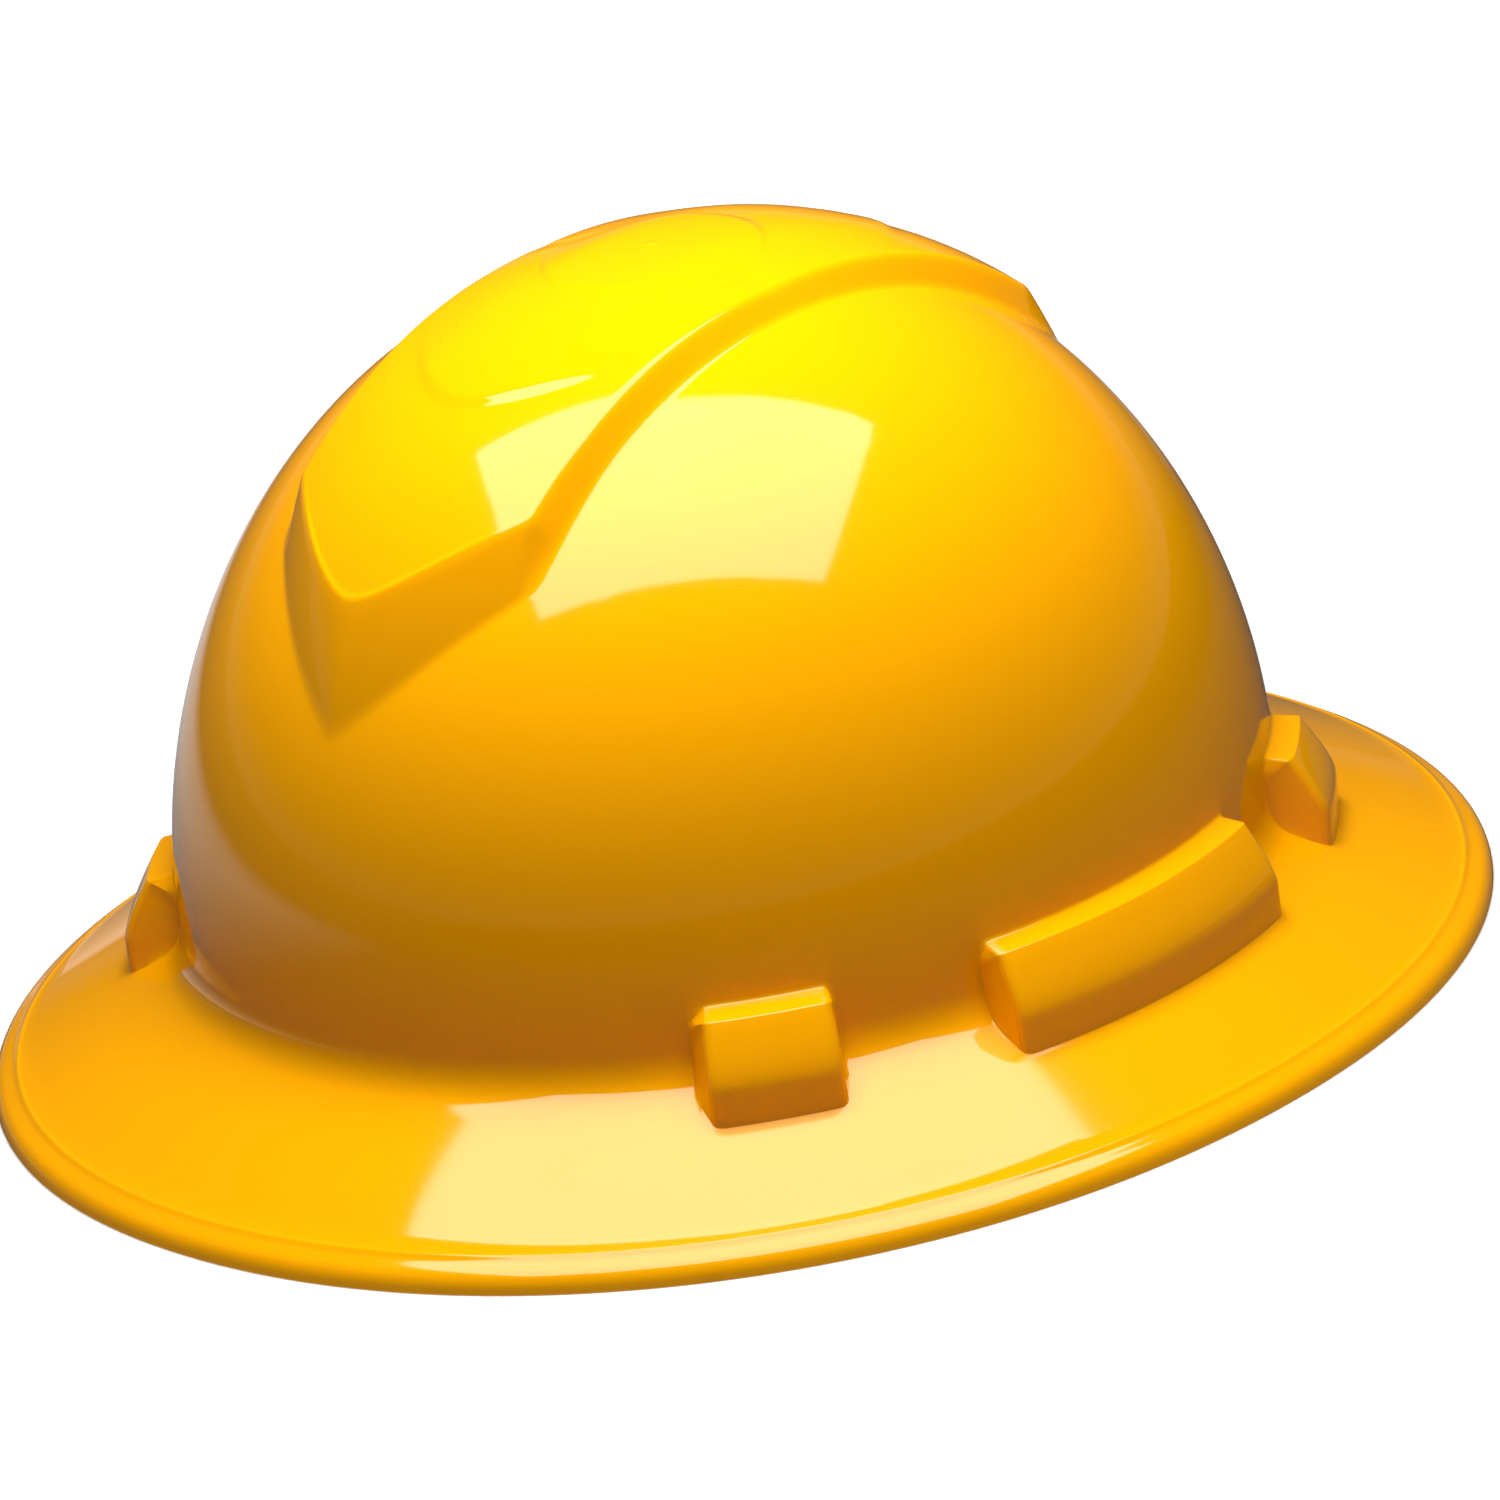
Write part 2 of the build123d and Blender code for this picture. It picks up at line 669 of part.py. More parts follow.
# Rack straps: they slide over each other behind the nape, with teeth on the upper edge of the left one's
# slot and on the lower edge of the right one's, so that one pinion draws both in
addendum = addendum_share * gear_module
dedendum = dedendum_share * gear_module
rack_half_tooth = (rack_pitch - backlash) / 4
lean = math.tan(math.radians(pressure_angle))
tooth_skin = rack_gap / 6
left_inner = band_outer + rack_gap
right_inner = left_inner + rack_wall + rack_gap
rack_forms = {
    "left_rack_strap": (left_inner, rack_lead_angle, 90 + rack_tail_angle, 1),
    "right_rack_strap": (right_inner, 90 - rack_tail_angle, 180 - rack_lead_angle, -1),
}
for rack_name, (rack_inner, start_angle, stop_angle, tooth_side) in rack_forms.items():
    rack_middle = rack_inner + rack_wall / 2
    pitch_angle = math.degrees(rack_pitch / rack_middle)
    slot_angle = rack_travel + math.degrees((rack_pitch_radius + 2 * addendum) / rack_middle)
    smooth_edge = rack_pitch_radius + addendum + slot_relief
    tooth_root = rack_pitch_radius + dedendum
    slot_middle = nape_height + tooth_side * (tooth_root - smooth_edge) / 2
    tooth_count = 2 * int((slot_angle - pitch_angle / 2) / pitch_angle)
    tooth_planes = []
    for i in range(tooth_count):
        turn = math.radians(90 + (i - (tooth_count - 1) / 2) * pitch_angle)
        radial = Vector(math.cos(turn), math.sin(turn), 0)
        spot = Vector(0, band_centre, nape_height) + radial * (rack_inner + tooth_skin)
        tooth_planes.append(Plane(origin=spot, x_dir=(-math.sin(turn), math.cos(turn), 0), z_dir=radial))
    with BuildPart() as rack:
        with BuildSketch(Plane.XY.offset(nape_height - rack_height / 2)):
            add(arc_sector(rack_inner, rack_inner + rack_wall, start_angle, stop_angle))
        extrude(amount=rack_height)
        with BuildSketch(Plane.XY.offset(slot_middle - (tooth_root + smooth_edge) / 2)):
            slot_inner = rack_inner - rack_gap / 2
            add(arc_sector(slot_inner, slot_inner + rack_wall + rack_gap, 90 - slot_angle, 90 + slot_angle))
        extrude(amount=tooth_root + smooth_edge, mode=Mode.SUBTRACT)
        with BuildSketch(*tooth_planes):
            with BuildLine():
                Polyline(
                    (-rack_half_tooth - (dedendum + tooth_skin) * lean, tooth_side * (tooth_root + tooth_skin)),
                    (-rack_half_tooth + addendum * lean, tooth_side * (rack_pitch_radius - addendum)),
                    (rack_half_tooth - addendum * lean, tooth_side * (rack_pitch_radius - addendum)),
                    (rack_half_tooth + (dedendum + tooth_skin) * lean, tooth_side * (tooth_root + tooth_skin)),
                    close=True,
                )
            make_face()
        extrude(amount=rack_wall - 2 * tooth_skin)
    rack.part.label = rack_name
    export_step(rack.part, f"parts/{rack_name}.step")

# Case base: the inner half of the ratchet case, with a rail along its top and bottom edge
case_inner = band_half_width
cover_inner = right_inner + rack_wall + rack_gap
case_half_height = rack_height / 2 + rack_gap + case_rail_height
channel_half_height = rack_height / 2 + rack_gap
screw_height = channel_half_height + case_rail_height / 2
screw_planes = []
for side in (-1, 1):
    for level in (-1, 1):
        turn = math.radians(90 + side * case_screw_angle)
        radial = Vector(math.cos(turn), math.sin(turn), 0)
        spot = Vector(0, band_centre, nape_height + level * screw_height) + radial * case_inner
        screw_planes.append(Plane(origin=spot, x_dir=(-math.sin(turn), math.cos(turn), 0), z_dir=radial))
case_screw_length = cover_inner - case_inner + case_wall / 2
with BuildPart() as case_base:
    with BuildSketch(Plane.XY.offset(nape_height - case_half_height)):
        add(arc_sector(case_inner, cover_inner, 90 - case_half_angle, 90 + case_half_angle))
    extrude(amount=2 * case_half_height)
    with BuildSketch(Plane.XY.offset(nape_height - channel_half_height)):
        add(arc_sector(band_outer, cover_inner + rack_gap, 90 - 2 * case_half_angle, 90 + 2 * case_half_angle))
    extrude(amount=2 * channel_half_height, mode=Mode.SUBTRACT)
    with BuildSketch(rear_plane(case_inner - overrun)):
        Circle(journal_radius + key_clearance)
    extrude(amount=2 * overrun + band_wall, mode=Mode.SUBTRACT)
    with BuildSketch(rear_plane(case_inner - overrun)):
        Circle(screw_head_radius + key_clearance)
    extrude(amount=overrun + screw_head_wall, mode=Mode.SUBTRACT)
    with BuildSketch(*screw_planes):
        Circle(case_screw_radius)
    extrude(amount=case_screw_length, mode=Mode.SUBTRACT)
    with BuildSketch(*[plane.offset(-case_screw_head_wall) for plane in screw_planes]):
        Circle(case_screw_head_radius)
    extrude(amount=2 * case_screw_head_wall, mode=Mode.SUBTRACT)
case_base.part.label = "case_base"
export_step(case_base.part, "parts/case_base.step")

# Case cover: the outer half, with a drum whose well has the detent teeth for the knob's pawls
cover_outer = cover_inner + case_wall
well_radius = drum_radius - drum_wall
notch_points = []
for i in range(2 * detent_teeth):
    turn = math.radians(180 * i / detent_teeth)
    notch_radius = well_radius - detent_depth * (i % 2)
    notch_points.append((notch_radius * math.cos(turn), notch_radius * math.sin(turn)))
with BuildPart() as case_cover:
    with BuildSketch(Plane.XY.offset(nape_height - case_half_height)):
        add(arc_sector(cover_inner, cover_outer, 90 - case_half_angle, 90 + case_half_angle))
    extrude(amount=2 * case_half_height)
    with BuildSketch(rear_plane(cover_inner + cover_embed)):
        Circle(drum_radius)
    extrude(amount=cover_outer + drum_depth - cover_inner - cover_embed)
    fillet(case_cover.faces().sort_by(Axis.Y)[-1].edges(), radius=case_lip_radius)
    with BuildSketch(rear_plane(cover_inner + well_floor)):
        with BuildLine():
            Polyline(notch_points, close=True)
        make_face()
    extrude(amount=cover_outer + drum_depth, mode=Mode.SUBTRACT)
    with BuildSketch(rear_plane(cover_inner - overrun)):
        Circle(axle_radius + key_clearance)
    extrude(amount=2 * overrun + well_floor, mode=Mode.SUBTRACT)
    with BuildSketch(*screw_planes):
        Circle(case_screw_radius)
    extrude(amount=case_screw_length, mode=Mode.SUBTRACT)
case_cover.part.label = "case_cover"
export_step(case_cover.part, "parts/case_cover.step")

# Case screws: four small screws driven from the head side into the cover
with BuildPart() as case_screws:
    with BuildSketch(*screw_planes):
        Circle(case_screw_radius)
    extrude(amount=case_screw_length)
    with BuildSketch(*screw_planes):
        Circle(case_screw_head_radius)
    extrude(amount=case_screw_head_wall)
case_screws.part.label = "case_screws"
export_step(case_screws.part, "parts/case_screws.step")

# Nape pad: soft foam on the inner face of the ratchet case
with BuildPart() as nape_pad:
    with BuildSketch(Plane.XY.offset(nape_height - case_half_height + pad_gap)):
        pad_outer = case_inner - pad_gap
        add(arc_sector(pad_outer - pad_wall, pad_outer, 90 - case_half_angle, 90 + case_half_angle))
    extrude(amount=2 * (case_half_height - pad_gap))
nape_pad.part.label = "nape_pad"
export_step(nape_pad.part, "parts/nape_pad.step")


def involute_half_angle(radius):
    """Half the angle that a pinion tooth takes up at a radius, for an involute flank."""
    base_radius = rack_pitch_radius * math.cos(math.radians(pressure_angle))
    pitch_half = (rack_pitch - backlash) / (4 * rack_pitch_radius)
    pitch_roll = math.radians(pressure_angle)
    roll = math.acos(min(1.0, base_radius / radius))
    return pitch_half + math.tan(pitch_roll) - pitch_roll - math.tan(roll) + roll


# Pinion: involute teeth that reach both straps, a journal towards the head and a square end for the knob
pinion_root = rack_pitch_radius - dedendum
pinion_base = rack_pitch_radius * math.cos(math.radians(pressure_angle))
pinion_tip = rack_pitch_radius + addendum
flank_shares = (0.0, 0.25, 0.5, 0.75, 1.0)
flank_radii = [pinion_base + (pinion_tip - pinion_base) * share for share in flank_shares]
tooth_points = []
for i in range(pinion_teeth):
    middle = math.radians(90) + 2 * math.pi * i / pinion_teeth
    root_half = involute_half_angle(pinion_base)
    spots = [(pinion_root, -root_half)]
    spots += [(radius, -involute_half_angle(radius)) for radius in flank_radii]
    spots += [(radius, involute_half_angle(radius)) for radius in reversed(flank_radii)]
    spots += [(pinion_root, root_half)]
    tooth_points += [(r * math.cos(middle + half), r * math.sin(middle + half)) for r, half in spots]
axle_round_end = cover_inner + well_floor
with BuildPart() as pinion:
    with BuildSketch(rear_plane(left_inner)):
        with BuildLine():
            Polyline(tooth_points, close=True)
        make_face()
    extrude(amount=right_inner + rack_wall - left_inner)
    with BuildSketch(rear_plane(case_inner + screw_head_wall)):
        Circle(journal_radius)
    extrude(amount=left_inner - case_inner - screw_head_wall)
    with BuildSketch(rear_plane(right_inner + rack_wall)):
        Circle(axle_radius)
    extrude(amount=axle_round_end - right_inner - rack_wall)
    with BuildSketch(rear_plane(axle_round_end)):
        Rectangle(axle_square, axle_square)
    extrude(amount=axle_square_length)
    with BuildSketch(rear_plane(case_inner)):
        Circle(screw_radius)
    extrude(amount=screw_head_wall + screw_length, mode=Mode.SUBTRACT)
pinion.part.label = "pinion"
export_step(pinion.part, "parts/pinion.step")

# Axle screw: it holds the pinion and the knob in the case
with BuildPart() as axle_screw:
    with BuildSketch(rear_plane(case_inner)):
        Circle(screw_head_radius)
    extrude(amount=screw_head_wall)
    with BuildSketch(rear_plane(case_inner)):
        Circle(screw_radius)
    extrude(amount=screw_head_wall + screw_length)
axle_screw.part.label = "axle_screw"
export_step(axle_screw.part, "parts/axle_screw.step")

# Pawl spring: a moulded hub with curved arms whose nubs click over the detent teeth
pawl_start = axle_round_end + key_clearance
knob_start = cover_outer + drum_depth + knob_gap
with BuildPart() as pawl_spring:
    with BuildSketch(rear_plane(pawl_start)):
        Circle(pawl_hub_radius)
        for i in range(pawl_arms):
            start_turn = 90 + 360 * i / pawl_arms
            with BuildLine():
                near = CenterArc((0, 0), pawl_arm_radius - pawl_arm_wall / 2, start_turn, pawl_arm_arc)
                far = CenterArc((0, 0), pawl_arm_radius + pawl_arm_wall / 2, start_turn, pawl_arm_arc)
                Line(near @ 0, far @ 0)
                Line(near @ 1, far @ 1)
            make_face()
            with PolarLocations(pawl_arm_radius / 2, 1, start_angle=start_turn + pawl_root_turn):
                Rectangle(pawl_arm_radius, pawl_arm_wall)
            nub_turn = start_turn + pawl_arm_arc - pawl_root_turn
            with PolarLocations(pawl_arm_radius + pawl_arm_wall / 2, 1, start_angle=nub_turn):
                Circle(pawl_nub_radius)
        Rectangle(axle_square, axle_square, mode=Mode.SUBTRACT)
    extrude(amount=pawl_wall)
    with BuildSketch(rear_plane(pawl_start + pawl_wall)):
        Circle(pawl_hub_radius)
        Rectangle(axle_square, axle_square, mode=Mode.SUBTRACT)
    extrude(amount=knob_start - pawl_start - pawl_wall)
pawl_spring.part.label = "pawl_spring"
export_step(pawl_spring.part, "parts/pawl_spring.step")

# Knob: scalloped rim, dished outer face and a square socket for the pinion's end
with BuildPart() as knob:
    with BuildSketch(rear_plane(knob_start)):
        Circle(knob_radius)
        with PolarLocations(knob_radius + knob_scallop_radius / 2, knob_scallops):
            Circle(knob_scallop_radius, mode=Mode.SUBTRACT)
    extrude(amount=knob_depth)
    fillet(knob.faces().sort_by(Axis.Y)[-1].edges(), radius=knob_scallop_radius / 2)
    with BuildSketch(rear_plane(knob_start + knob_depth - knob_dish_depth)):
        Circle(knob_dish_radius)
    extrude(amount=knob_dish_depth + overrun, taper=-knob_dish_lean, mode=Mode.SUBTRACT)
    with BuildSketch(rear_plane(knob_start)):
        Rectangle(axle_square, axle_square)
    extrude(amount=axle_round_end + axle_square_length - knob_start, mode=Mode.SUBTRACT)
knob.part.label = "knob"
export_step(knob.part, "parts/knob.step")
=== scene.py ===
import math

import bmesh
import bpy
import numpy as np
from mathutils import Matrix, Vector


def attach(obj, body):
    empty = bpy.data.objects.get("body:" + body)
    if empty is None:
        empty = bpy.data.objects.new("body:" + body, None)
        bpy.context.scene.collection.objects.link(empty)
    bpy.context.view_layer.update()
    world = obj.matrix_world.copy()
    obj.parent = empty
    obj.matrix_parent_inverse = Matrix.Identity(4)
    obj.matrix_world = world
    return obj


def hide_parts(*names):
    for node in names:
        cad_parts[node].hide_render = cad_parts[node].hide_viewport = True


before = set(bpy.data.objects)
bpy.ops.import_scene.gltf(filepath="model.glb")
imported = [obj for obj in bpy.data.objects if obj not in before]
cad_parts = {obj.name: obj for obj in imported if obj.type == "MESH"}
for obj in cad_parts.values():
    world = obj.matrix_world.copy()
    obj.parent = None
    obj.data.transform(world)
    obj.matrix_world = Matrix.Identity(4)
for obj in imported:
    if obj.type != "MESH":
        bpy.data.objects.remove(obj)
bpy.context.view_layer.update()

# Viewpoint: the photographer's long lens, three quarters on from the wearer's left, looking down
# on the hat. The lens tilts a little because the hat leans back in the photograph.
VIEW_AZIMUTH, VIEW_ELEVATION, VIEW_ROLL = (math.radians(angle) for angle in (45.77, 20.75, 7.49))
VIEW_TARGET = Vector((0, 0, 0.060))
VIEW_DISTANCE = 1.891
FRAME_PIXELS, FOCAL_PIXELS, SHIFT_PIXELS, SENSOR_WIDTH = 1500, 9288.6, (39.2, -56.2), 36

lens = bpy.data.cameras.new("viewpoint")
lens.sensor_width = SENSOR_WIDTH
lens.lens = FOCAL_PIXELS * SENSOR_WIDTH / FRAME_PIXELS
lens.shift_x, lens.shift_y = SHIFT_PIXELS[0] / FRAME_PIXELS, SHIFT_PIXELS[1] / FRAME_PIXELS
back = Vector((
    math.sin(VIEW_AZIMUTH) * math.cos(VIEW_ELEVATION),
    -math.cos(VIEW_AZIMUTH) * math.cos(VIEW_ELEVATION),
    math.sin(VIEW_ELEVATION),
))
across = Vector((math.cos(VIEW_AZIMUTH), math.sin(VIEW_AZIMUTH), 0))
upward = back.cross(across)
lens_across = across * math.cos(VIEW_ROLL) - upward * math.sin(VIEW_ROLL)
lens_upward = across * math.sin(VIEW_ROLL) + upward * math.cos(VIEW_ROLL)
viewpoint = bpy.data.objects.new("viewpoint", lens)
turn = Matrix((lens_across, lens_upward, back)).transposed().to_4x4()
viewpoint.matrix_world = Matrix.Translation(VIEW_TARGET + back * VIEW_DISTANCE) @ turn
bpy.context.scene.collection.objects.link(viewpoint)
bpy.context.scene.camera = viewpoint

# Shell: one injection moulding in glossy ABS, 2.4 mm thick, with dome, brim, crown band and
# hollow bosses in one piece. Sizes in millimetres, in the frame of the solid that it replaces.
HAT_LENGTH, HAT_WIDTH = 320, 295
WIDTH_SHARE = HAT_WIDTH / HAT_LENGTH
DOME_RADIUS, DOME_HEIGHT, WALL_FOOT = 117.5, 151.8, 35
PLAN_POWER, RISE_POWER = 2.23, 1.87
SHELL_WALL, BRIM_WALL = 2.4, 2.6
RIM_RADIUS, LIP_RADIUS, LIP_HEIGHT = 160, 154.8, 5.8
FOOT_HEIGHT, FOOT_ROUND, RIM_POWER = 24.6, 9.0, 2.058
BRIM_FALL = (FOOT_HEIGHT - LIP_HEIGHT) / (LIP_RADIUS - DOME_RADIUS)
BRIM_DROP = BRIM_WALL * math.hypot(1, BRIM_FALL)
BAND_RISE, BAND_HALF, BAND_FLANK, BAND_TIP, BAND_TOP_TIP = 4.2, 35.2, 3.2, 104, 95.2
END_RISE, END_START, END_RUN = 1.1, 20, 50
RIDGE_RISE, RIDGE_WIDTH, RIDGE_LEVEL, RIDGE_FADE = 0.26, 0.75, 18, 14
CHEVRON_RISE, GATE_RISE, GATE_RADIUS = 0.55, 0.16, 1.7
# Each chevron's edge from the crown, its ramp, and where its step starts to fade and over what width.
CHEVRONS = ((60.8, 2.4, 14, 13), (24.4, 2.2, 12, 10))
# The band's V lines at places along it: how far they fall back, in proportion to x and to its square, how
# soft their point is, and the width past which they run straight across.
LINE_PLACES = (0, 24, 60.5, 94.5, 104)
LINE_LEAN, LINE_BEND = (0, 0.15, 0.36, 0.45, 0.35), (0, 0.038, 0.019, 0.0125, 0.0126)
LINE_SOFT = (0, 24, 60.5, 92, 95.5, 104), (4, 4, 4, 4.6, 4.2, 0.8)
LINE_LIMIT = (0, 24, 60.5, 94.5), (21.5, 21.5, 27, 36)
BOSS_OUT, BOSS_SHELF, BOSS_TOP, BOSS_FACE, BOSS_ROUND = 12.6, 6.2, 38.9, 25.2, 2.2
NOOK_ROUND, BROW_ROUND, BROW_SLOPE = 0.9, 0.6, 1.5
FRONT_FLARE, FLARE, LOW_PART_TOP = 1.5, 0.7, 41.2
HOLLOW_OUT, HOLLOW_IN, HOLLOW_RISE, HOLLOW_POWER = 12, 0.6, 7, 2.3
RIM_ROUND, BASE_ROUND, HEEL_ROUND = 4.2, 0.4, 2.0
BEAD_ACROSS = np.array([-0.9, -0.5, -0.15, 0.15, 0.5, 0.9, 1.4])
BEAD_HEIGHT = (0, 0.1, 0.32, 0.36, 0.2, 0.03, 0)
# Middles of the bosses in degrees from the wearer's left towards the rear, and the half widths of their
# faces and of the hollows inside them. A side boss holds an accessory slot between two cored spaces.
KEY_BOSSES, KEY_HALF, KEY_HOLLOW = (-40.6, 38.8, 141.2, 220.6), 6.2, 5.1
SIDE_BOSSES, SIDE_HALF, SIDE_HOLLOWS = (0, 180), 17.7, ((0, 7.3), (-12.5, 3.9), (12.5, 3.9))


def brim_height(radius):
    """Top of the brim, a cone: FOOT_HEIGHT less BRIM_FALL for each millimetre of radius past the dome."""
    return FOOT_HEIGHT - (radius - DOME_RADIUS) * BRIM_FALL


def eased_step(d, foot, top):
    """Ramp from 0 at d = 0 to 1 at d = 1, each corner a parabola (d + f)^2 / 4f within f of it."""
    low = np.where(d < -foot, 0, np.where(d < foot, (d + foot) ** 2 / (4 * foot), d))
    e = 1 - d
    high = 1 - np.where(e < -top, 0, np.where(e < top, (e + top) ** 2 / (4 * top), e))
    return np.where(d < 0.5, low, high)


def dome_point(radius, angle, growth=0):
    """Superellipse dome, WALL_FOOT + tall * (1 - (r / R)^PLAN_POWER)^(1 / RISE_POWER) high.

    Both R and tall are larger by growth, which is how far the surface lies outside the plain dome.
    """
    share = np.clip(1 - (radius / (DOME_RADIUS + growth)) ** PLAN_POWER, 0, 1)
    height = WALL_FOOT + (DOME_HEIGHT + growth - WALL_FOOT) * share ** (1 / RISE_POWER)
    return np.stack([WIDTH_SHARE * radius * np.cos(angle), radius * np.sin(angle), height], -1)


def stations(*knots):
    """Rows between knots: each pair (value, cells) adds that many even cells up to the value."""
    rows = [np.array([float(knots[0])])]
    for value, cells in knots[1:]:
        rows.append(np.linspace(rows[-1][-1], value, cells + 1)[1:])
    return np.concatenate(rows)


band_rows = stations(
    0, (2.4, 6), (14, 4), (21.4, 4), (25.2, 7), (40, 5), (57.3, 5), (61.5, 8), (78, 5),
    (92.8, 5), (96.6, 15), (102.6, 5), (105.2, 7),
)
band_columns = stations(
    0, (2.4, 5), (5, 2), (17, 7), (22, 4), (27, 4), (30.2, 3), (33.4, 8), (34.2, 2), (36.3, 6),
)
BAND_ROWS = np.concatenate([-band_rows[:0:-1], band_rows])
BAND_COLUMNS = np.concatenate([-band_columns[:0:-1], band_columns])


def band_surface(growth):
    """Crown band over the dome: rows follow the pointed ends and chevrons, so each edge lies on a row.

    Row T meets the middle T mm from the crown and falls back along its chevron by lean * x + bend * x^2,
    its point rounded by taking sqrt(x^2 + soft^2) - soft for x. The band stands up by BAND_RISE, and
    END_RISE more towards the ends, times a ramp up the flanks and ends. A ridge of
    RIDGE_RISE * exp(-(d / RIDGE_WIDTH)^2) runs along each end's top edge, each chevron adds CHEVRON_RISE
    that fades out towards the flanks, and the gate mark at the crown is a low round step.
    """
    tip, x = np.meshgrid(BAND_ROWS, BAND_COLUMNS, indexing="ij")
    reach = np.abs(tip)
    side = np.abs(x)
    lean = np.interp(reach, LINE_PLACES, LINE_LEAN)
    bend = np.interp(reach, LINE_PLACES, LINE_BEND)
    soft = np.interp(reach, *LINE_SOFT)
    limit = np.interp(reach, *LINE_LIMIT)
    run = np.minimum(np.sqrt(side**2 + soft**2) - soft, limit)
    y = np.sign(tip) * (reach - lean * run - bend * run**2)
    flank = eased_step((BAND_HALF - side) / BAND_FLANK, 0.24, 0.26)
    end = eased_step((BAND_TIP - reach) / (BAND_TIP - BAND_TOP_TIP), 0.1, 0.1)
    rise = (BAND_RISE + END_RISE * eased_step((reach - END_START) / END_RUN, 0.4, 0.4)) * flank * end
    ridge = np.exp(-(((reach - BAND_TOP_TIP + RIDGE_WIDTH) / RIDGE_WIDTH) ** 2))
    rise += RIDGE_RISE * ridge * (1 - eased_step((side - RIDGE_LEVEL) / RIDGE_FADE, 0.3, 0.3))
    rise += GATE_RISE * np.exp(-((x**2 + tip**2) / GATE_RADIUS) ** 2)
    for edge, ramp, level, fade in CHEVRONS:
        step = eased_step((edge - reach) / ramp, 0.4, 0.4)
        rise += CHEVRON_RISE * step * (1 - eased_step((side - level) / fade, 0.3, 0.3))
    radius = np.hypot(x / WIDTH_SHARE, y)
    angle = np.arctan2(y, x / WIDTH_SHARE)
    return dome_point(radius, angle, growth + rise), radius, angle


def around(grid):
    """The outline of a grid, walked once round from the front tip towards the wearer's left."""
    middle = grid.shape[1] // 2
    sides = [grid[0, middle:-1], grid[:-1, -1], grid[-1, :0:-1], grid[:0:-1, 0], grid[0, :middle]]
    return np.concatenate(sides)


def spread(ends, count, runs, shares):
    """Column angles once round from the front and how far each stands out, from 0 to 1.

    Each end of an opening is (angle, way, run): way is 1 where the opening starts. It gets a run of columns
    at that run's offsets inward, with the shares given, and the others are spread evenly between the runs.
    """
    ends = sorted((np.mod(angle + 90, 360), way, run) for angle, way, run in ends)
    angles, weights, low, share = [np.zeros(1)], [np.zeros(1)], 0.0, 0.0
    spare = count - len(ends) * len(shares) - 1
    room = 360 - sum(runs[run][-1] - runs[run][0] for _, _, run in ends)
    used = 0
    for end, way, run in ends + [(360, 0, None)]:
        columns = np.sort(end + way * np.asarray(runs[run])) if way else np.array([360.0])
        cells = int(round(spare * (columns[0] - low) / room)) if way else spare - used
        used += cells
        angles.append(low + (columns[0] - low) * np.arange(1, cells + 1) / (cells + 1))
        weights.append(np.full(cells, share))
        if way:
            angles.append(columns)
            weights.append(np.asarray(shares)[::way])
            share = 1.0 if way > 0 else 0.0
            low = columns[-1]
    return np.radians(np.concatenate(angles) - 90), np.concatenate(weights)


def fillet_arc(corner, before, after, size, cells):
    """Tangent arc of radius size at a path's corner, between its runs towards the points before and after.

    Its centre lies size / sin(half) from the corner, half being half the corner's angle.
    """
    a = np.subtract(before, corner) / np.linalg.norm(np.subtract(before, corner))
    b = np.subtract(after, corner) / np.linalg.norm(np.subtract(after, corner))
    half = math.acos(np.dot(a, b)) / 2
    centre = np.add(corner, (a + b) / np.linalg.norm(a + b) * size / math.sin(half))
    start = np.add(corner, a * size / math.tan(half)) - centre
    end = np.add(corner, b * size / math.tan(half)) - centre
    sweep = math.pi - 2 * half
    t = np.linspace(0, 1, cells + 1)[:, None]
    return centre + (np.sin((1 - t) * sweep) * start + np.sin(t * sweep) * end) / math.sin(sweep)


def rim_points(profile, angle):
    """Turns a profile of (radius, height) rows about the hat's axis.

    The radius grows towards the rim's superellipse |cos|^p + |sin|^p = 1, by a share that rises from 0 at
    the dome to 1 at the rim as the square of the way out.
    """
    radius, height = profile[..., 0], profile[..., 1]
    full = (np.abs(np.cos(angle)) ** RIM_POWER + np.abs(np.sin(angle)) ** RIM_POWER) ** (-1 / RIM_POWER)
    out = np.clip((radius - DOME_RADIUS) / (RIM_RADIUS - DOME_RADIUS), 0, 1)
    radius = radius * (1 + (full - 1) * out**2)
    return np.stack([WIDTH_SHARE * radius * np.cos(angle), radius * np.sin(angle), height], -1)


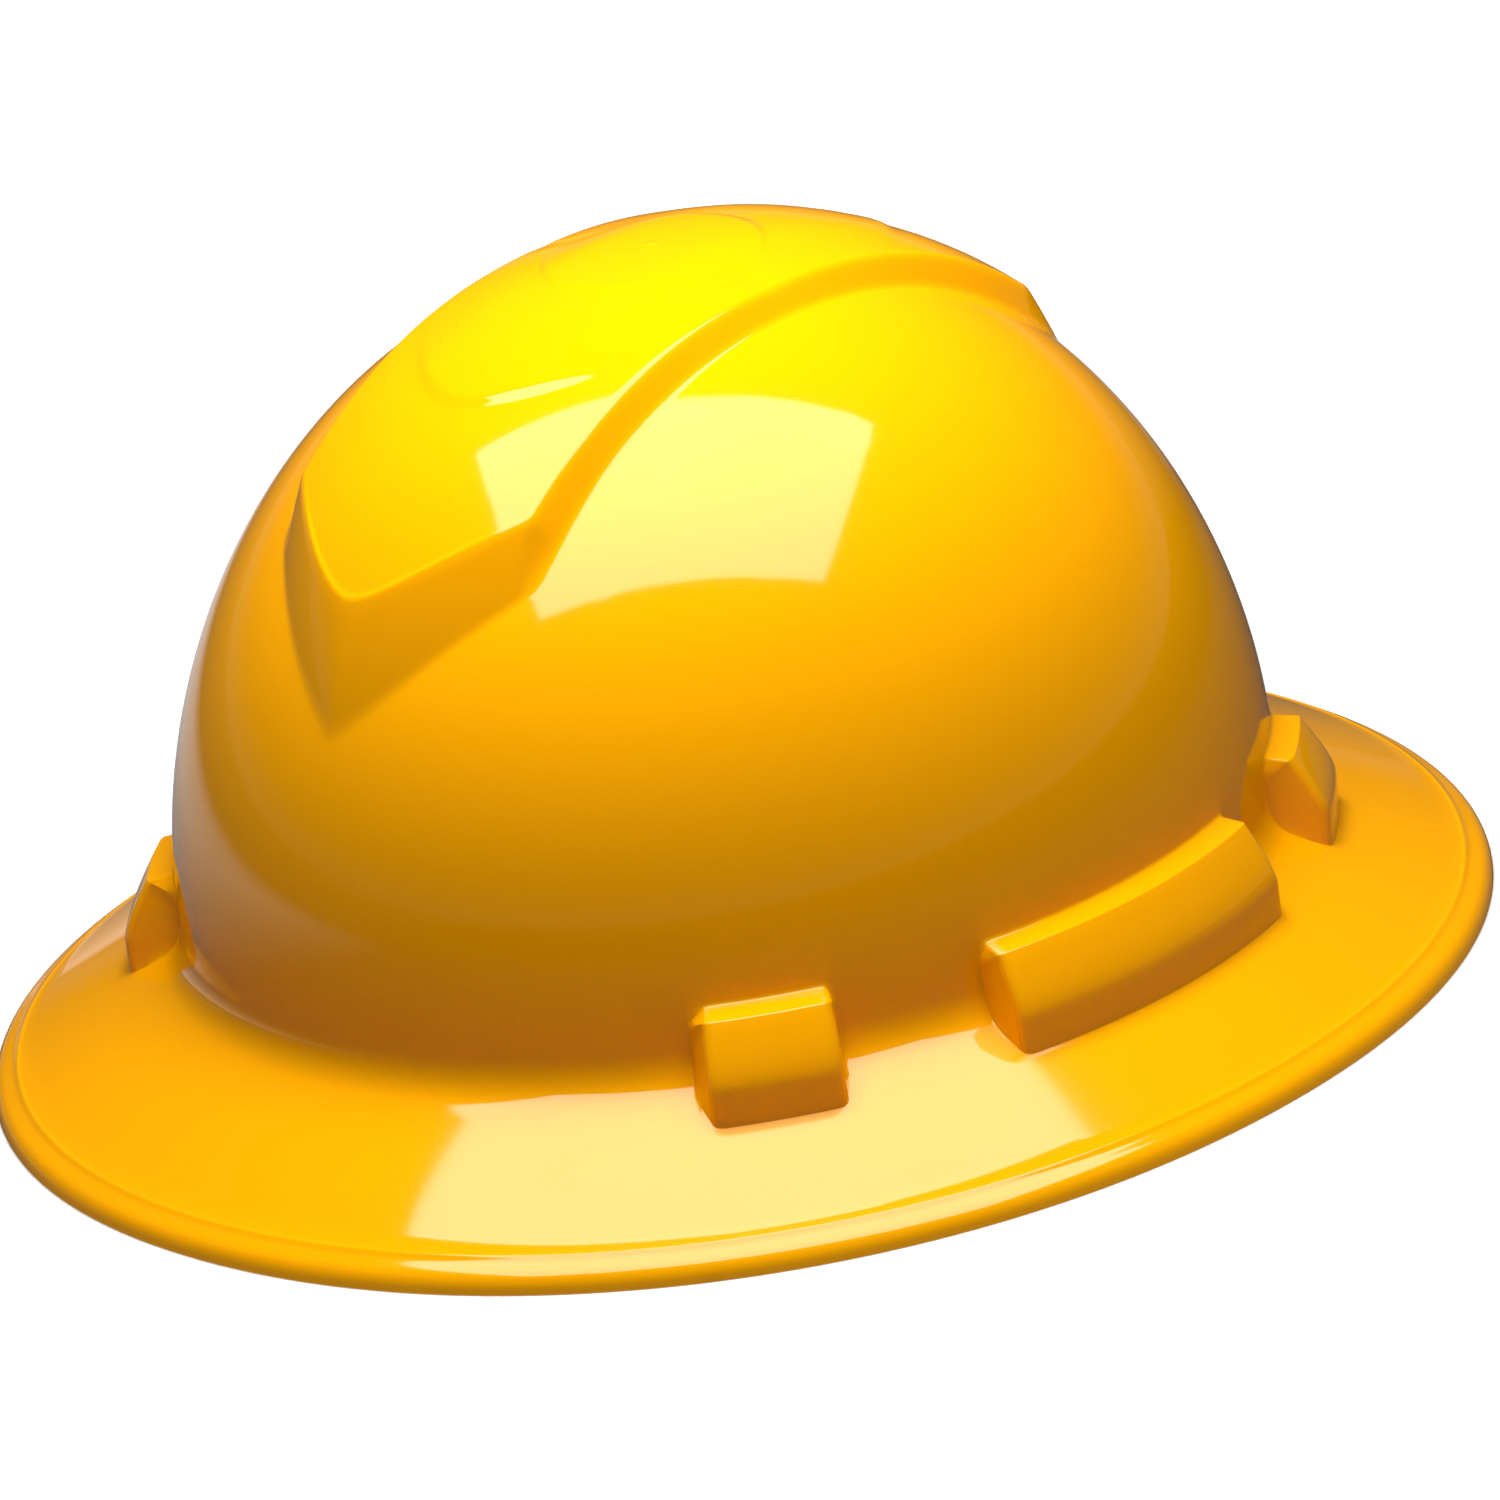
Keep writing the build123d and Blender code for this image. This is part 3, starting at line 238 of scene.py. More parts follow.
def outer_side():
    """Outer skin from the band's outline down the dome, over the bosses or the foot's fillet, to the rim.

    Each column of the low part is plain * (1 - weight) + swell * weight, between the profile of the plain
    foot and the one of a boss, so that a boss ends where its weight runs from 1 to 0.
    """
    grid, radius, angle = band_surface(0)
    top_radius, top_angle = around(radius), np.unwrap(around(angle))
    count = len(top_radius)
    edge_turn = np.radians(np.linspace(0, 90, 7))
    rounding = 0.05 + np.degrees(BOSS_ROUND / DOME_RADIUS) * (1 - np.cos(edge_turn))
    side_share = 1 - BOSS_ROUND / BOSS_OUT
    foot_round = np.array([-0.35, -0.12, -0.03, 0.0])
    flank_run = np.array([0.75, 0.4, 0.0])
    runs = {}
    for flare in (FRONT_FLARE, FLARE):
        runs[flare] = np.concatenate([foot_round - flare, -flare * flank_run, rounding])
    slant = side_share * np.array([0.25, 0.6, 1.0])
    top = side_share + (1 - side_share) * np.sin(edge_turn)
    shares = np.concatenate([[0, 0.005, 0.02, 0.05], slant, top])
    ends = []
    for middle, half in [(m, KEY_HALF) for m in KEY_BOSSES] + [(m, SIDE_HALF) for m in SIDE_BOSSES]:
        across, along = math.cos(math.radians(middle)), math.sin(math.radians(middle))
        for way in (1, -1):
            front_end = half == KEY_HALF and along < 0 and way * across > 0
            ends.append((middle - way * half, way, FRONT_FLARE if front_end else FLARE))
    foot_angle, weight = spread(ends, count, runs, shares)
    turns = np.arccos(np.clip(top_radius / DOME_RADIUS, 0, 1) ** (PLAN_POWER / 2))
    low_turn = math.asin(((LOW_PART_TOP - WALL_FOOT) / (DOME_HEIGHT - WALL_FOOT)) ** (RISE_POWER / 2))
    t = np.linspace(0, 1, 36)[:, None]
    turn_rows = turns[None] * (1 - t) + low_turn * t
    angle_rows = top_angle[None] * (1 - t) + foot_angle[None] * t
    dome = dome_point(DOME_RADIUS * np.cos(turn_rows) ** (2 / PLAN_POWER), angle_rows)
    dome[0] = around(grid)
    corner = (DOME_RADIUS, brim_height(DOME_RADIUS))
    outward = (DOME_RADIUS + 4, brim_height(DOME_RADIUS + 4))
    foot = fillet_arc(corner, (DOME_RADIUS, 60), outward, FOOT_ROUND, 14)
    wall_turn = np.linspace(low_turn, 0, 6)[1:]
    wall = np.stack([
        DOME_RADIUS * np.cos(wall_turn) ** (2 / PLAN_POWER),
        WALL_FOOT + (DOME_HEIGHT - WALL_FOOT) * np.sin(wall_turn) ** (2 / RISE_POWER),
    ], -1)
    straight = np.stack([np.full(4, DOME_RADIUS), np.linspace(WALL_FOOT, foot[0][1], 6)[1:-1]], -1)
    plain = np.concatenate([wall, straight, foot])
    shelf = (DOME_RADIUS + BOSS_SHELF, BOSS_TOP - 1)
    out = DOME_RADIUS + BOSS_OUT
    knee = (out, shelf[1] - (BOSS_OUT - BOSS_SHELF) * BROW_SLOPE)
    nook = fillet_arc((DOME_RADIUS, BOSS_TOP), (DOME_RADIUS, 60), shelf, NOOK_ROUND, 3)
    brow = fillet_arc(shelf, (DOME_RADIUS, BOSS_TOP), knee, BROW_ROUND, 4)
    t = np.linspace(0, 1, 9)[1:, None]
    bulge = (1 - t) ** 2 * brow[-1] + 2 * t * (1 - t) * np.array(knee)
    bulge = bulge + t**2 * np.array([out, BOSS_FACE])
    used = len(nook) + len(brow) + len(bulge)
    face = np.linspace(BOSS_FACE, brim_height(out), len(plain) - used + 1)[1:]
    swell = np.concatenate([nook, brow, bulge, np.stack([np.full(len(face), out), face], -1)])
    side = plain[:, None] * (1 - weight[None, :, None]) + swell[:, None] * weight[None, :, None]
    low_reach = side[-1, :, 0]
    s = np.linspace(0, 1, 11)[1:-1, None]
    bead_radius = LIP_RADIUS + BEAD_ACROSS
    bead = np.stack([bead_radius, brim_height(bead_radius) + BEAD_HEIGHT], -1)
    corner = (RIM_RADIUS, brim_height(RIM_RADIUS))
    edge = fillet_arc(corner, (LIP_RADIUS, brim_height(LIP_RADIUS)), (RIM_RADIUS, 0), RIM_ROUND, 8)
    base = fillet_arc((RIM_RADIUS, 0), corner, (150, 0), BASE_ROUND, 3)
    brim_radius = low_reach[None] * (1 - s) + bead[0][0] * s
    brim = np.stack([brim_radius, brim_height(brim_radius)], -1)
    between = (bead[-1] + edge[0]) * 0.5
    finish = np.concatenate([bead, between[None], edge, base, [[RIM_RADIUS - 2.2, 0]]])
    rest = np.concatenate([side, brim, np.repeat(finish[:, None], count, 1)])
    return grid, np.concatenate([dome, rim_points(rest, foot_angle[None])]), foot_angle


def under_brim(radius):
    """Lower face of the brim, BRIM_DROP below its top."""
    return FOOT_HEIGHT - BRIM_DROP - (radius - DOME_RADIUS) * BRIM_FALL


def inner_side(rim_angle):
    """Lining from the rim up under the brim, into the hollow bosses, round the heel and up the dome.

    A hollow's roof follows the superellipse cos^(2 / HOLLOW_POWER), sin^(2 / HOLLOW_POWER), and its columns
    blend between the flat underside and the hollow by the same kind of weight as the bosses outside.
    """
    grid, radius, angle = band_surface(-SHELL_WALL)
    top_radius, top_angle = around(radius), np.unwrap(around(angle))
    count = len(top_radius)
    hollows = [(middle, KEY_HOLLOW) for middle in KEY_BOSSES]
    hollows += [(middle + turn, half) for middle in SIDE_BOSSES for turn, half in SIDE_HOLLOWS]
    ends = [(middle - way * half, way, "square") for middle, half in hollows for way in (1, -1)]
    low_angle, weight = spread(ends, count, {"square": (-0.05, 0.05)}, (0, 1))
    lip = np.array([[LIP_RADIUS, LIP_HEIGHT - BRIM_DROP]])
    out, low = DOME_RADIUS + HOLLOW_OUT - SHELL_WALL, DOME_RADIUS + HOLLOW_IN
    brim_radius = np.linspace(LIP_RADIUS, out, 8)[1:]
    brim = np.stack([brim_radius, under_brim(brim_radius)], -1)
    rise = np.linspace(0, math.pi / 2, 9)
    roof_radius = low + (out - low) * np.cos(rise) ** (2 / HOLLOW_POWER)
    roof_height = BOSS_FACE + HOLLOW_RISE * np.sin(rise) ** (2 / HOLLOW_POWER)
    pocket = np.concatenate([
        np.stack([roof_radius, roof_height], -1),
        np.stack([np.full(6, low), np.linspace(BOSS_FACE + HOLLOW_RISE, under_brim(low), 7)[1:]], -1),
    ])
    flat_radius = np.linspace(out, low, len(pocket))
    flat = np.stack([flat_radius, under_brim(flat_radius)], -1)
    middle = flat[:, None] * (1 - weight[None, :, None]) + pocket[:, None] * weight[None, :, None]
    inner = DOME_RADIUS - SHELL_WALL
    lip_point = (LIP_RADIUS, under_brim(LIP_RADIUS))
    heel = fillet_arc((inner, under_brim(inner)), lip_point, (inner, 60), HEEL_ROUND, 6)
    wall = np.stack([np.full(6, inner), np.linspace(heel[-1][1], WALL_FOOT, 7)[1:]], -1)
    brim_rows = np.repeat(np.concatenate([lip, brim])[:, None], count, 1)
    wall_rows = np.repeat(np.concatenate([heel, wall])[:, None], count, 1)
    low_rows = np.concatenate([brim_rows, middle, wall_rows])
    t = np.linspace(0, 1, 6)[:, None]
    blend = np.ones(len(low_rows))[:, None]
    blend[:6] = t
    angle_rows = rim_angle[None] * (1 - blend) + low_angle[None] * blend
    low_part = rim_points(low_rows, angle_rows)
    turns = np.arccos(np.clip(top_radius / inner, 0, 1) ** (PLAN_POWER / 2))
    u = np.linspace(0, 1, 13)[1:, None]
    turn_rows = turns[None] * u
    angle_up = low_angle[None] * (1 - u) + top_angle[None] * u
    dome = dome_point(inner * np.cos(turn_rows) ** (2 / PLAN_POWER), angle_up, -SHELL_WALL)
    dome[-1] = around(grid)
    return grid, np.concatenate([low_part, dome])


def grid_faces(rows, columns, start, closed=False):
    """Quads between neighbouring rows and columns of a grid of vertices stored row by row."""
    index = start + np.arange(rows * columns).reshape(rows, columns)
    if closed:
        index = np.concatenate([index, index[:, :1]], 1)
    corners = [index[:-1, :-1], index[:-1, 1:], index[1:, 1:], index[1:, :-1]]
    return np.stack(corners, -1).reshape(-1, 4)


def piece_mesh(name, points, faces, sharp=None, cloth=None):
    """Object from points in millimetres and quads: merged, smooth, and creased where it turns past sharp.

    cloth holds each point's place on the flat cloth in millimetres, the attribute that a weave follows.
    """
    mesh = bpy.data.meshes.new(name)
    mesh.from_pydata((np.asarray(points) * 0.001).tolist(), [], np.asarray(faces).tolist())
    if cloth is not None:
        flat = np.concatenate([cloth, np.zeros((len(cloth), 1))], 1).astype(np.float32)
        mesh.attributes.new("cloth", "FLOAT_VECTOR", "POINT").data.foreach_set("vector", flat.ravel())
    piece = bpy.data.objects.new(name, mesh)
    bpy.context.scene.collection.objects.link(piece)
    cleaned = bmesh.new()
    cleaned.from_mesh(mesh)
    bmesh.ops.remove_doubles(cleaned, verts=cleaned.verts, dist=2e-6)
    bmesh.ops.dissolve_degenerate(cleaned, dist=1e-7, edges=cleaned.edges)
    bmesh.ops.recalc_face_normals(cleaned, faces=cleaned.faces)
    cleaned.to_mesh(mesh)
    cleaned.free()
    mesh.shade_smooth()
    if sharp:
        mesh.set_sharp_from_angle(angle=math.radians(sharp))
    return piece


outer_band, outer_skin, rim_angle = outer_side()
inner_band, inner_skin = inner_side(rim_angle)
blocks = [outer_band, inner_band, np.concatenate([outer_skin, inner_skin])]
points, faces = [], []
for number, block in enumerate(blocks):
    start = sum(len(part) for part in points)
    faces.append(grid_faces(*block.shape[:2], start, closed=number == 2))
    points.append(block.reshape(-1, 3))
shell = piece_mesh("shell_moulding", np.concatenate(points), np.concatenate(faces), sharp=32)
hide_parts("shell")
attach(shell, "shell_body")


def hex_colour(code):
    """Linear red, green and blue from a six-digit sRGB hex code."""
    channels = [int(code[i:i + 2], 16) / 255 for i in (1, 3, 5)]
    return [c / 12.92 if c <= 0.04045 else ((c + 0.055) / 1.055) ** 2.4 for c in channels] + [1]


def add_node(tree, kind, inputs=(), **settings):
    """Adds one shader node: inputs as (socket or value, name or number), settings by attribute or input."""
    node = tree.nodes.new("ShaderNode" + kind)
    for key, value in settings.items():
        if hasattr(node, key):
            setattr(node, key, value)
    for key, value in settings.items():
        if not hasattr(node, key):
            node.inputs[key.replace("_", " ")].default_value = value
    for source, target in inputs:
        if isinstance(source, bpy.types.NodeSocket):
            tree.links.new(source, node.inputs[target])
        else:
            node.inputs[target].default_value = source
    return node


def lead_in(surface, **sockets):
    """Links each socket to the shader's input of its name, with _ for a space."""
    for name, socket in sockets.items():
        surface.id_data.links.new(socket, surface.inputs[name.replace("_", " ")])


def plain_material(name, colour, roughness, ior=1.5, **shader):
    """A material whose Principled shader has these values, ready for a pattern and a bump to be linked."""
    material = bpy.data.materials.new(name)
    material.use_nodes = True
    tree = material.node_tree
    surface = tree.nodes["Principled BSDF"]
    surface.inputs["Base Color"].default_value = hex_colour(colour)
    surface.inputs["Roughness"].default_value = roughness
    surface.inputs["IOR"].default_value = ior
    for key, value in shader.items():
        surface.inputs[key.replace("_", " ")].default_value = value
    return material, tree, surface


# Gloss-moulded ABS from a polished tool: wet-looking and saturated, with the faint waves about 36 mm long
# that cooling leaves, and a tone that drifts by a hundredth or two.
SHELL_COLOUR = "#FFAC00"
abs_gloss, tree, surface = plain_material("abs_gloss_moulded", SHELL_COLOUR, 0.07)
place = add_node(tree, "TexCoord").outputs["Object"]
tone = add_node(tree, "TexNoise", [(place, "Vector")], Scale=9, Detail=3)
shade = add_node(tree, "MapRange", [(tone.outputs["Fac"], "Value")], To_Min=0.985, To_Max=1.015)
toned = [(shade.outputs["Result"], "Value"), (hex_colour(SHELL_COLOUR), "Color")]
tinted = add_node(tree, "HueSaturation", toned)
wave = add_node(tree, "TexNoise", [(place, "Vector")], Scale=28, Detail=1)
ripple = add_node(tree, "Bump", [(wave.outputs["Fac"], "Height")], Strength=0.12, Distance=0.0004)
lead_in(surface, Base_Color=tinted.outputs["Color"], Normal=ripple.outputs["Normal"])
shell.data.materials.append(abs_gloss)

# Keys, ratchet case and knob: black glass-filled nylon, moulded in spark-eroded tools, which leaves a fine
# even matt grain, here of pits 0.4 mm apart, with duller and shinier patches of 6 mm. The keys push up
# into the shell's bosses, and the axle screw holds the knob.


def dress(names, material):
    """Gives each of the named solids this one material."""
    for name in names:
        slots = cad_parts[name].data.materials
        slots.clear()
        slots.append(material)


nylon_black, tree, surface = plain_material("nylon_spark_eroded", "#1C1C1E", 0.48, 1.53)
place = add_node(tree, "TexCoord").outputs["Object"]
pits = add_node(tree, "TexVoronoi", [(place, "Vector")], Scale=2600)
patch = add_node(tree, "TexNoise", [(place, "Vector")], Scale=160, Detail=4)
sheen = add_node(tree, "MapRange", [(patch.outputs["Fac"], "Value")], To_Min=0.40, To_Max=0.58)
depth = [(pits.outputs["Distance"], "Height")]
pitted = add_node(tree, "Bump", depth, Strength=0.35, Distance=0.00012)
lead_in(surface, Roughness=sheen.outputs["Result"], Normal=pitted.outputs["Normal"])
KEYS = ("front_left_key", "rear_left_key", "front_right_key", "rear_right_key")
dress((*KEYS, "case_base", "case_cover", "knob"), nylon_black)

# Headband and rack straps: moulded low-density polyethylene, soft enough to bend round the head. It has a
# waxy satin skin with faint flow marks along the strip, 17 mm long and 3 mm high, some of them rubbed shiny.
polyethylene, tree, surface = plain_material("polyethylene_satin_moulded", "#242427", 0.42, 1.51)
place = add_node(tree, "TexCoord").outputs["Object"]
strip = add_node(tree, "Mapping", [(place, "Vector")], Scale=(1, 1, 5))
flow = add_node(tree, "TexNoise", [(strip.outputs["Vector"], "Vector")], Scale=60, Detail=5)
ramp = [(flow.outputs["Fac"], "Value"), (0.35, "From Min"), (0.7, "From Max")]
rubbed = add_node(tree, "MapRange", ramp, To_Min=0.34, To_Max=0.55)
tones = [(flow.outputs["Fac"], 0), (hex_colour("#1F1F22"), 6), (hex_colour("#2B2B2F"), 7)]
tone = add_node(tree, "Mix", tones, data_type="RGBA")
skin = add_node(tree, "Bump", [(flow.outputs["Fac"], "Height")], Strength=0.2, Distance=0.0003)
lead_in(surface, Base_Color=tone.outputs[2], Roughness=rubbed.outputs["Result"])
lead_in(surface, Normal=skin.outputs["Normal"])
dress(("headband", "left_rack_strap", "right_rack_strap"), polyethylene)

# Pinion and pawl ring: natural acetal, injection moulded, off-white and slippery. Light goes a little way
# into it, so that thin edges glow, and its tone is cloudy at about 4 mm.
depth = {"Subsurface_Weight": 0.15, "Subsurface_Scale": 0.002}
acetal, tree, surface = plain_material("acetal_natural_moulded", "#DAD7CC", 0.32, 1.48, **depth)
place = add_node(tree, "TexCoord").outputs["Object"]
cloud = add_node(tree, "TexNoise", [(place, "Vector")], Scale=240, Detail=3)
tones = [(cloud.outputs["Fac"], 0), (hex_colour("#D2CEC1"), 6), (hex_colour("#E0DED5"), 7)]
tint = add_node(tree, "Mix", tones, data_type="RGBA")
frost = add_node(tree, "Bump", [(cloud.outputs["Fac"], "Height")], Strength=0.15, Distance=0.0001)
lead_in(surface, Base_Color=tint.outputs[2], Normal=frost.outputs["Normal"])
dress(("pinion", "pawl_spring"), acetal)

# Screws: cold-headed steel with bright zinc plating, mottled at about 1 mm, milky in some places and
# shinier in others. Four close the ratchet case, and one holds the knob.
zinc_steel, tree, surface = plain_material("steel_zinc_plated", "#C4C6CA", 0.3, Metallic=1.0)
place = add_node(tree, "TexCoord").outputs["Object"]
mottle = add_node(tree, "TexNoise", [(place, "Vector")], Scale=900, Detail=4)
milk = add_node(tree, "MapRange", [(mottle.outputs["Fac"], "Value")], To_Min=0.22, To_Max=0.44)
plated = add_node(tree, "Bump", [(mottle.outputs["Fac"], "Height")], Strength=0.2, Distance=0.00006)
lead_in(surface, Roughness=milk.outputs["Result"], Normal=plated.outputs["Normal"])
dress(("case_screws", "axle_screw"), zinc_steel)

# Crown straps: two 19 mm polyester webs that cross under the crown. Each end goes down through the slot
# in a key's head, round under its bar and up outside, and is sewn to itself with thick bonded thread.
STRAP_HALF, STRAP_WALL, STRAP_SPAN = 9.5, 1.2, 103.424
STRAP_BAR, LEG_TOP, FOLD_LOW, SELVEDGE = 2.85, 47.5, 42.6, 0.6
STRAP_END = STRAP_SPAN - STRAP_BAR
TAIL_START, TAIL_END, TAIL_GAP = 0.13, 0.25, 0.1
# Height at the crown, middle in plan and direction of each strap.
STRAPS = (
    ("lower", 121.0, (-1.005, -1.313), (0.73855, -0.6742)),
    ("upper", 123.0, (1.005, -1.313), (0.73855, 0.6742)),
)


def arch_radius(crown):
    """Radius of the circle that is level at the crown and meets the key: (end^2 + drop^2) / (2 * drop)."""
    return (STRAP_END**2 + (crown - LEG_TOP) ** 2) / (2 * (crown - LEG_TOP))


def run_along(path):
    """Distance along a path at each of its points, from 0 at the first."""
    return np.concatenate([[0], np.cumsum(np.linalg.norm(np.diff(path, axis=0), axis=1))])


def strap_route(crown):
    """Half of a strap's middle line in its own upright plane, as (distance from the crown, height) points.

    A circle runs from the crown to the key, the corners round the bar are tangent arcs, and the tail lies
    on the circle's outer side, a strap's thickness out.
    """
    size = arch_radius(crown)
    key_turn = math.asin(STRAP_END / size)
    turn = np.linspace(0, key_turn, 90)
    arch = np.stack([size * np.sin(turn), crown - size + size * np.cos(turn)], -1)
    low_in, low_out = (STRAP_END, FOLD_LOW), (STRAP_END + 2 * STRAP_BAR, FOLD_LOW)
    turn = np.linspace(key_turn - TAIL_START, key_turn - TAIL_END, 12)
    far = size + STRAP_WALL + TAIL_GAP
    tail = np.stack([far * np.sin(turn), crown - size + far * np.cos(turn)], -1)
    knee = (low_out[0], LEG_TOP + 0.8)
    corners = [
        fillet_arc(low_in, (STRAP_END, LEG_TOP), low_out, 2.0, 6),
        fillet_arc(low_out, low_in, knee, 2.0, 6),
        fillet_arc(knee, low_out, tail[0], 4.0, 5),
    ]
    path = np.concatenate([arch, *corners, tail])
    steps = run_along(path)
    even = np.linspace(0, steps[-1], 260)
    return np.stack([np.interp(even, steps, path[:, 0]), np.interp(even, steps, path[:, 1])], -1)


def web_ring():
    """Section of the web as (across, thickness): a flat stadium with a slightly fuller selvedge."""
    turn = np.linspace(0, math.pi, 6)
    side = np.stack([STRAP_HALF - SELVEDGE + SELVEDGE * np.sin(turn), 1.1 * SELVEDGE * np.cos(turn)], -1)
    flat = np.linspace(STRAP_HALF - 1.6, -(STRAP_HALF - 1.6), 11)
    low = np.stack([flat, np.full(11, -STRAP_WALL / 2)], -1)
    return np.concatenate([side, low, -side, -low])


def swept_web(route, crown_place, way):
    """Web carried along the route: ring point (a, b) lies a across the line and b along the line's normal."""
    ring = web_ring()
    ahead = np.gradient(route, axis=0)
    ahead /= np.linalg.norm(ahead, axis=1)[:, None]
    normal = np.stack([-ahead[:, 1], ahead[:, 0]], -1)
    line = route[:, None] + normal[:, None] * ring[None, :, 1:]
    place = line[..., :1] * way + crown_place
    place = place + ring[None, :, :1] * (-way[1], way[0])
    cloth = np.stack(np.broadcast_arrays(run_along(route)[:, None], ring[None, :, 0]), -1)
    return np.concatenate([place, line[..., 1:]], -1), cloth


# Webbing: polyester yarn in a plain weave, dull, and paler at a low angle where its fibres catch the light.
# Its threads lie 1.1 mm by 0.9 mm apart, each over one and under one.
THREAD_ALONG, THREAD_ACROSS = 1.1, 0.9
hairs = {"Sheen_Weight": 0.35, "Sheen_Roughness": 0.4}
webbing, tree, surface = plain_material("polyester_webbing_woven", "#26272B", 0.78, **hairs)
cloth = add_node(tree, "Attribute", attribute_name="cloth")
flat = add_node(tree, "SeparateXYZ", [(cloth.outputs["Vector"], "Vector")])
waves = []
for axis, pitch in (("X", THREAD_ALONG), ("Y", THREAD_ACROSS)):
    turns = [(flat.outputs[axis], 0), (math.pi / pitch, 1)]
    turned = add_node(tree, "Math", turns, operation="MULTIPLY")
    waves.append(add_node(tree, "Math", [(turned.outputs[0], 0)], operation="SINE"))
sines = [(waves[0].outputs[0], 0), (waves[1].outputs[0], 1)]
crossing = add_node(tree, "Math", sines, operation="MULTIPLY")
over = add_node(tree, "Math", [(crossing.outputs[0], 0), (0.0, 1)], operation="GREATER_THAN")
crowns = [add_node(tree, "Math", [(sine.outputs[0], 0)], operation="ABSOLUTE") for sine in waves]
layers = [(over.outputs[0], 0), (crowns[0].outputs[0], 2), (crowns[1].outputs[0], 3)]
weave = add_node(tree, "Mix", layers)
# Tone painted from the weave's height: painted highlight on the threads' crowns, painted shade in the dips.
tones = [(weave.outputs[0], 0), (hex_colour("#131417"), 6), (hex_colour("#3A3B41"), 7)]
weave_painted_shade = add_node(tree, "Mix", tones, data_type="RGBA")
raised = add_node(tree, "Bump", [(weave.outputs[0], "Height")], Strength=0.6, Distance=0.0002)
lead_in(surface, Base_Color=weave_painted_shade.outputs[2], Normal=raised.outputs["Normal"])

# Sewing thread: bonded polyester, a shade lighter than the web. Painted highlight and painted shade stand
# for its twisted plies, as light and dark marks 0.7 mm apart laid out at random by noise.
thread, tree, surface = plain_material("polyester_thread_bonded", "#5B5C63", 0.6, Sheen_Weight=0.3)
place = add_node(tree, "TexCoord").outputs["Object"]
plies = add_node(tree, "TexNoise", [(place, "Vector")], Scale=1500, Detail=2)
tones = [(plies.outputs["Fac"], 0), (hex_colour("#4A4B52"), 6), (hex_colour("#74757D"), 7)]
ply_painted_shade = add_node(tree, "Mix", tones, data_type="RGBA")
lead_in(surface, Base_Color=ply_painted_shade.outputs[2])


def stitches(starts, ends, lift, width):
    """Thread from starts to ends: rods of six sides, width * (0.35 + 0.65 * sin(pi * t)) thick.

    Each rod's middle stands width * 0.3 proud of the cloth, along lift, so that its ends dip into the cloth.
    """
    t = np.linspace(0, 1, 6)
    turn = np.radians(np.arange(6) * 60)
    along = (ends - starts) / np.linalg.norm(ends - starts, axis=1)[:, None]
    across = np.cross(along, lift)
    size = width * (0.35 + 0.65 * np.sin(np.pi * t)) / 2
    middle = starts[:, None] * (1 - t[None, :, None]) + ends[:, None] * t[None, :, None]
    middle = middle + lift[:, None] * (width * 0.3 * np.sin(np.pi * t))[None, :, None]
    turn = turn[None, None, :, None]
    ring = across[:, None, None] * np.cos(turn) + lift[:, None, None] * np.sin(turn)
    points = middle[:, :, None] + ring * size[None, :, None, None]
    faces = np.concatenate([grid_faces(6, 6, 36 * n, closed=True) for n in range(len(starts))])
    return points.reshape(-1, 3), faces


SEAM_CORNER, SEAM_SIZE, SEAM_PITCH, SEAM_BACK = (-11.0, -6.5), (9.0, 13.0), 1.9, 14.5
STITCH_START, STITCH_END, SEAM_THREAD = 0.12, 0.88, 0.45


def box_stitch():
    """Stitch ends on flat cloth along a box and its two diagonals, as (from, to) pairs of (along, across).

    Lines are cut into even steps near SEAM_PITCH, and a stitch runs from STITCH_START to STITCH_END of one.
    """
    a, b = np.array(SEAM_CORNER), np.add(SEAM_CORNER, SEAM_SIZE)
    corners = [a, (b[0], a[1]), b, (a[0], b[1])]
    lines = [(corners[n], corners[(n + 1) % 4]) for n in range(4)]
    lines += [(corners[0], corners[2]), (corners[1], corners[3])]
    pairs = []
    for start, end in lines:
        count = int(round(np.linalg.norm(np.subtract(end, start)) / SEAM_PITCH))
        t = np.linspace(0, 1, count + 1)[:, None]
        marks = np.asarray(start) * (1 - t) + np.asarray(end) * t
        before, after = marks[:-1], marks[1:]
        first = before * STITCH_END + after * STITCH_START
        last = before * STITCH_START + after * STITCH_END
        pairs.append(np.stack([first, last], 1))
    return np.concatenate(pairs)


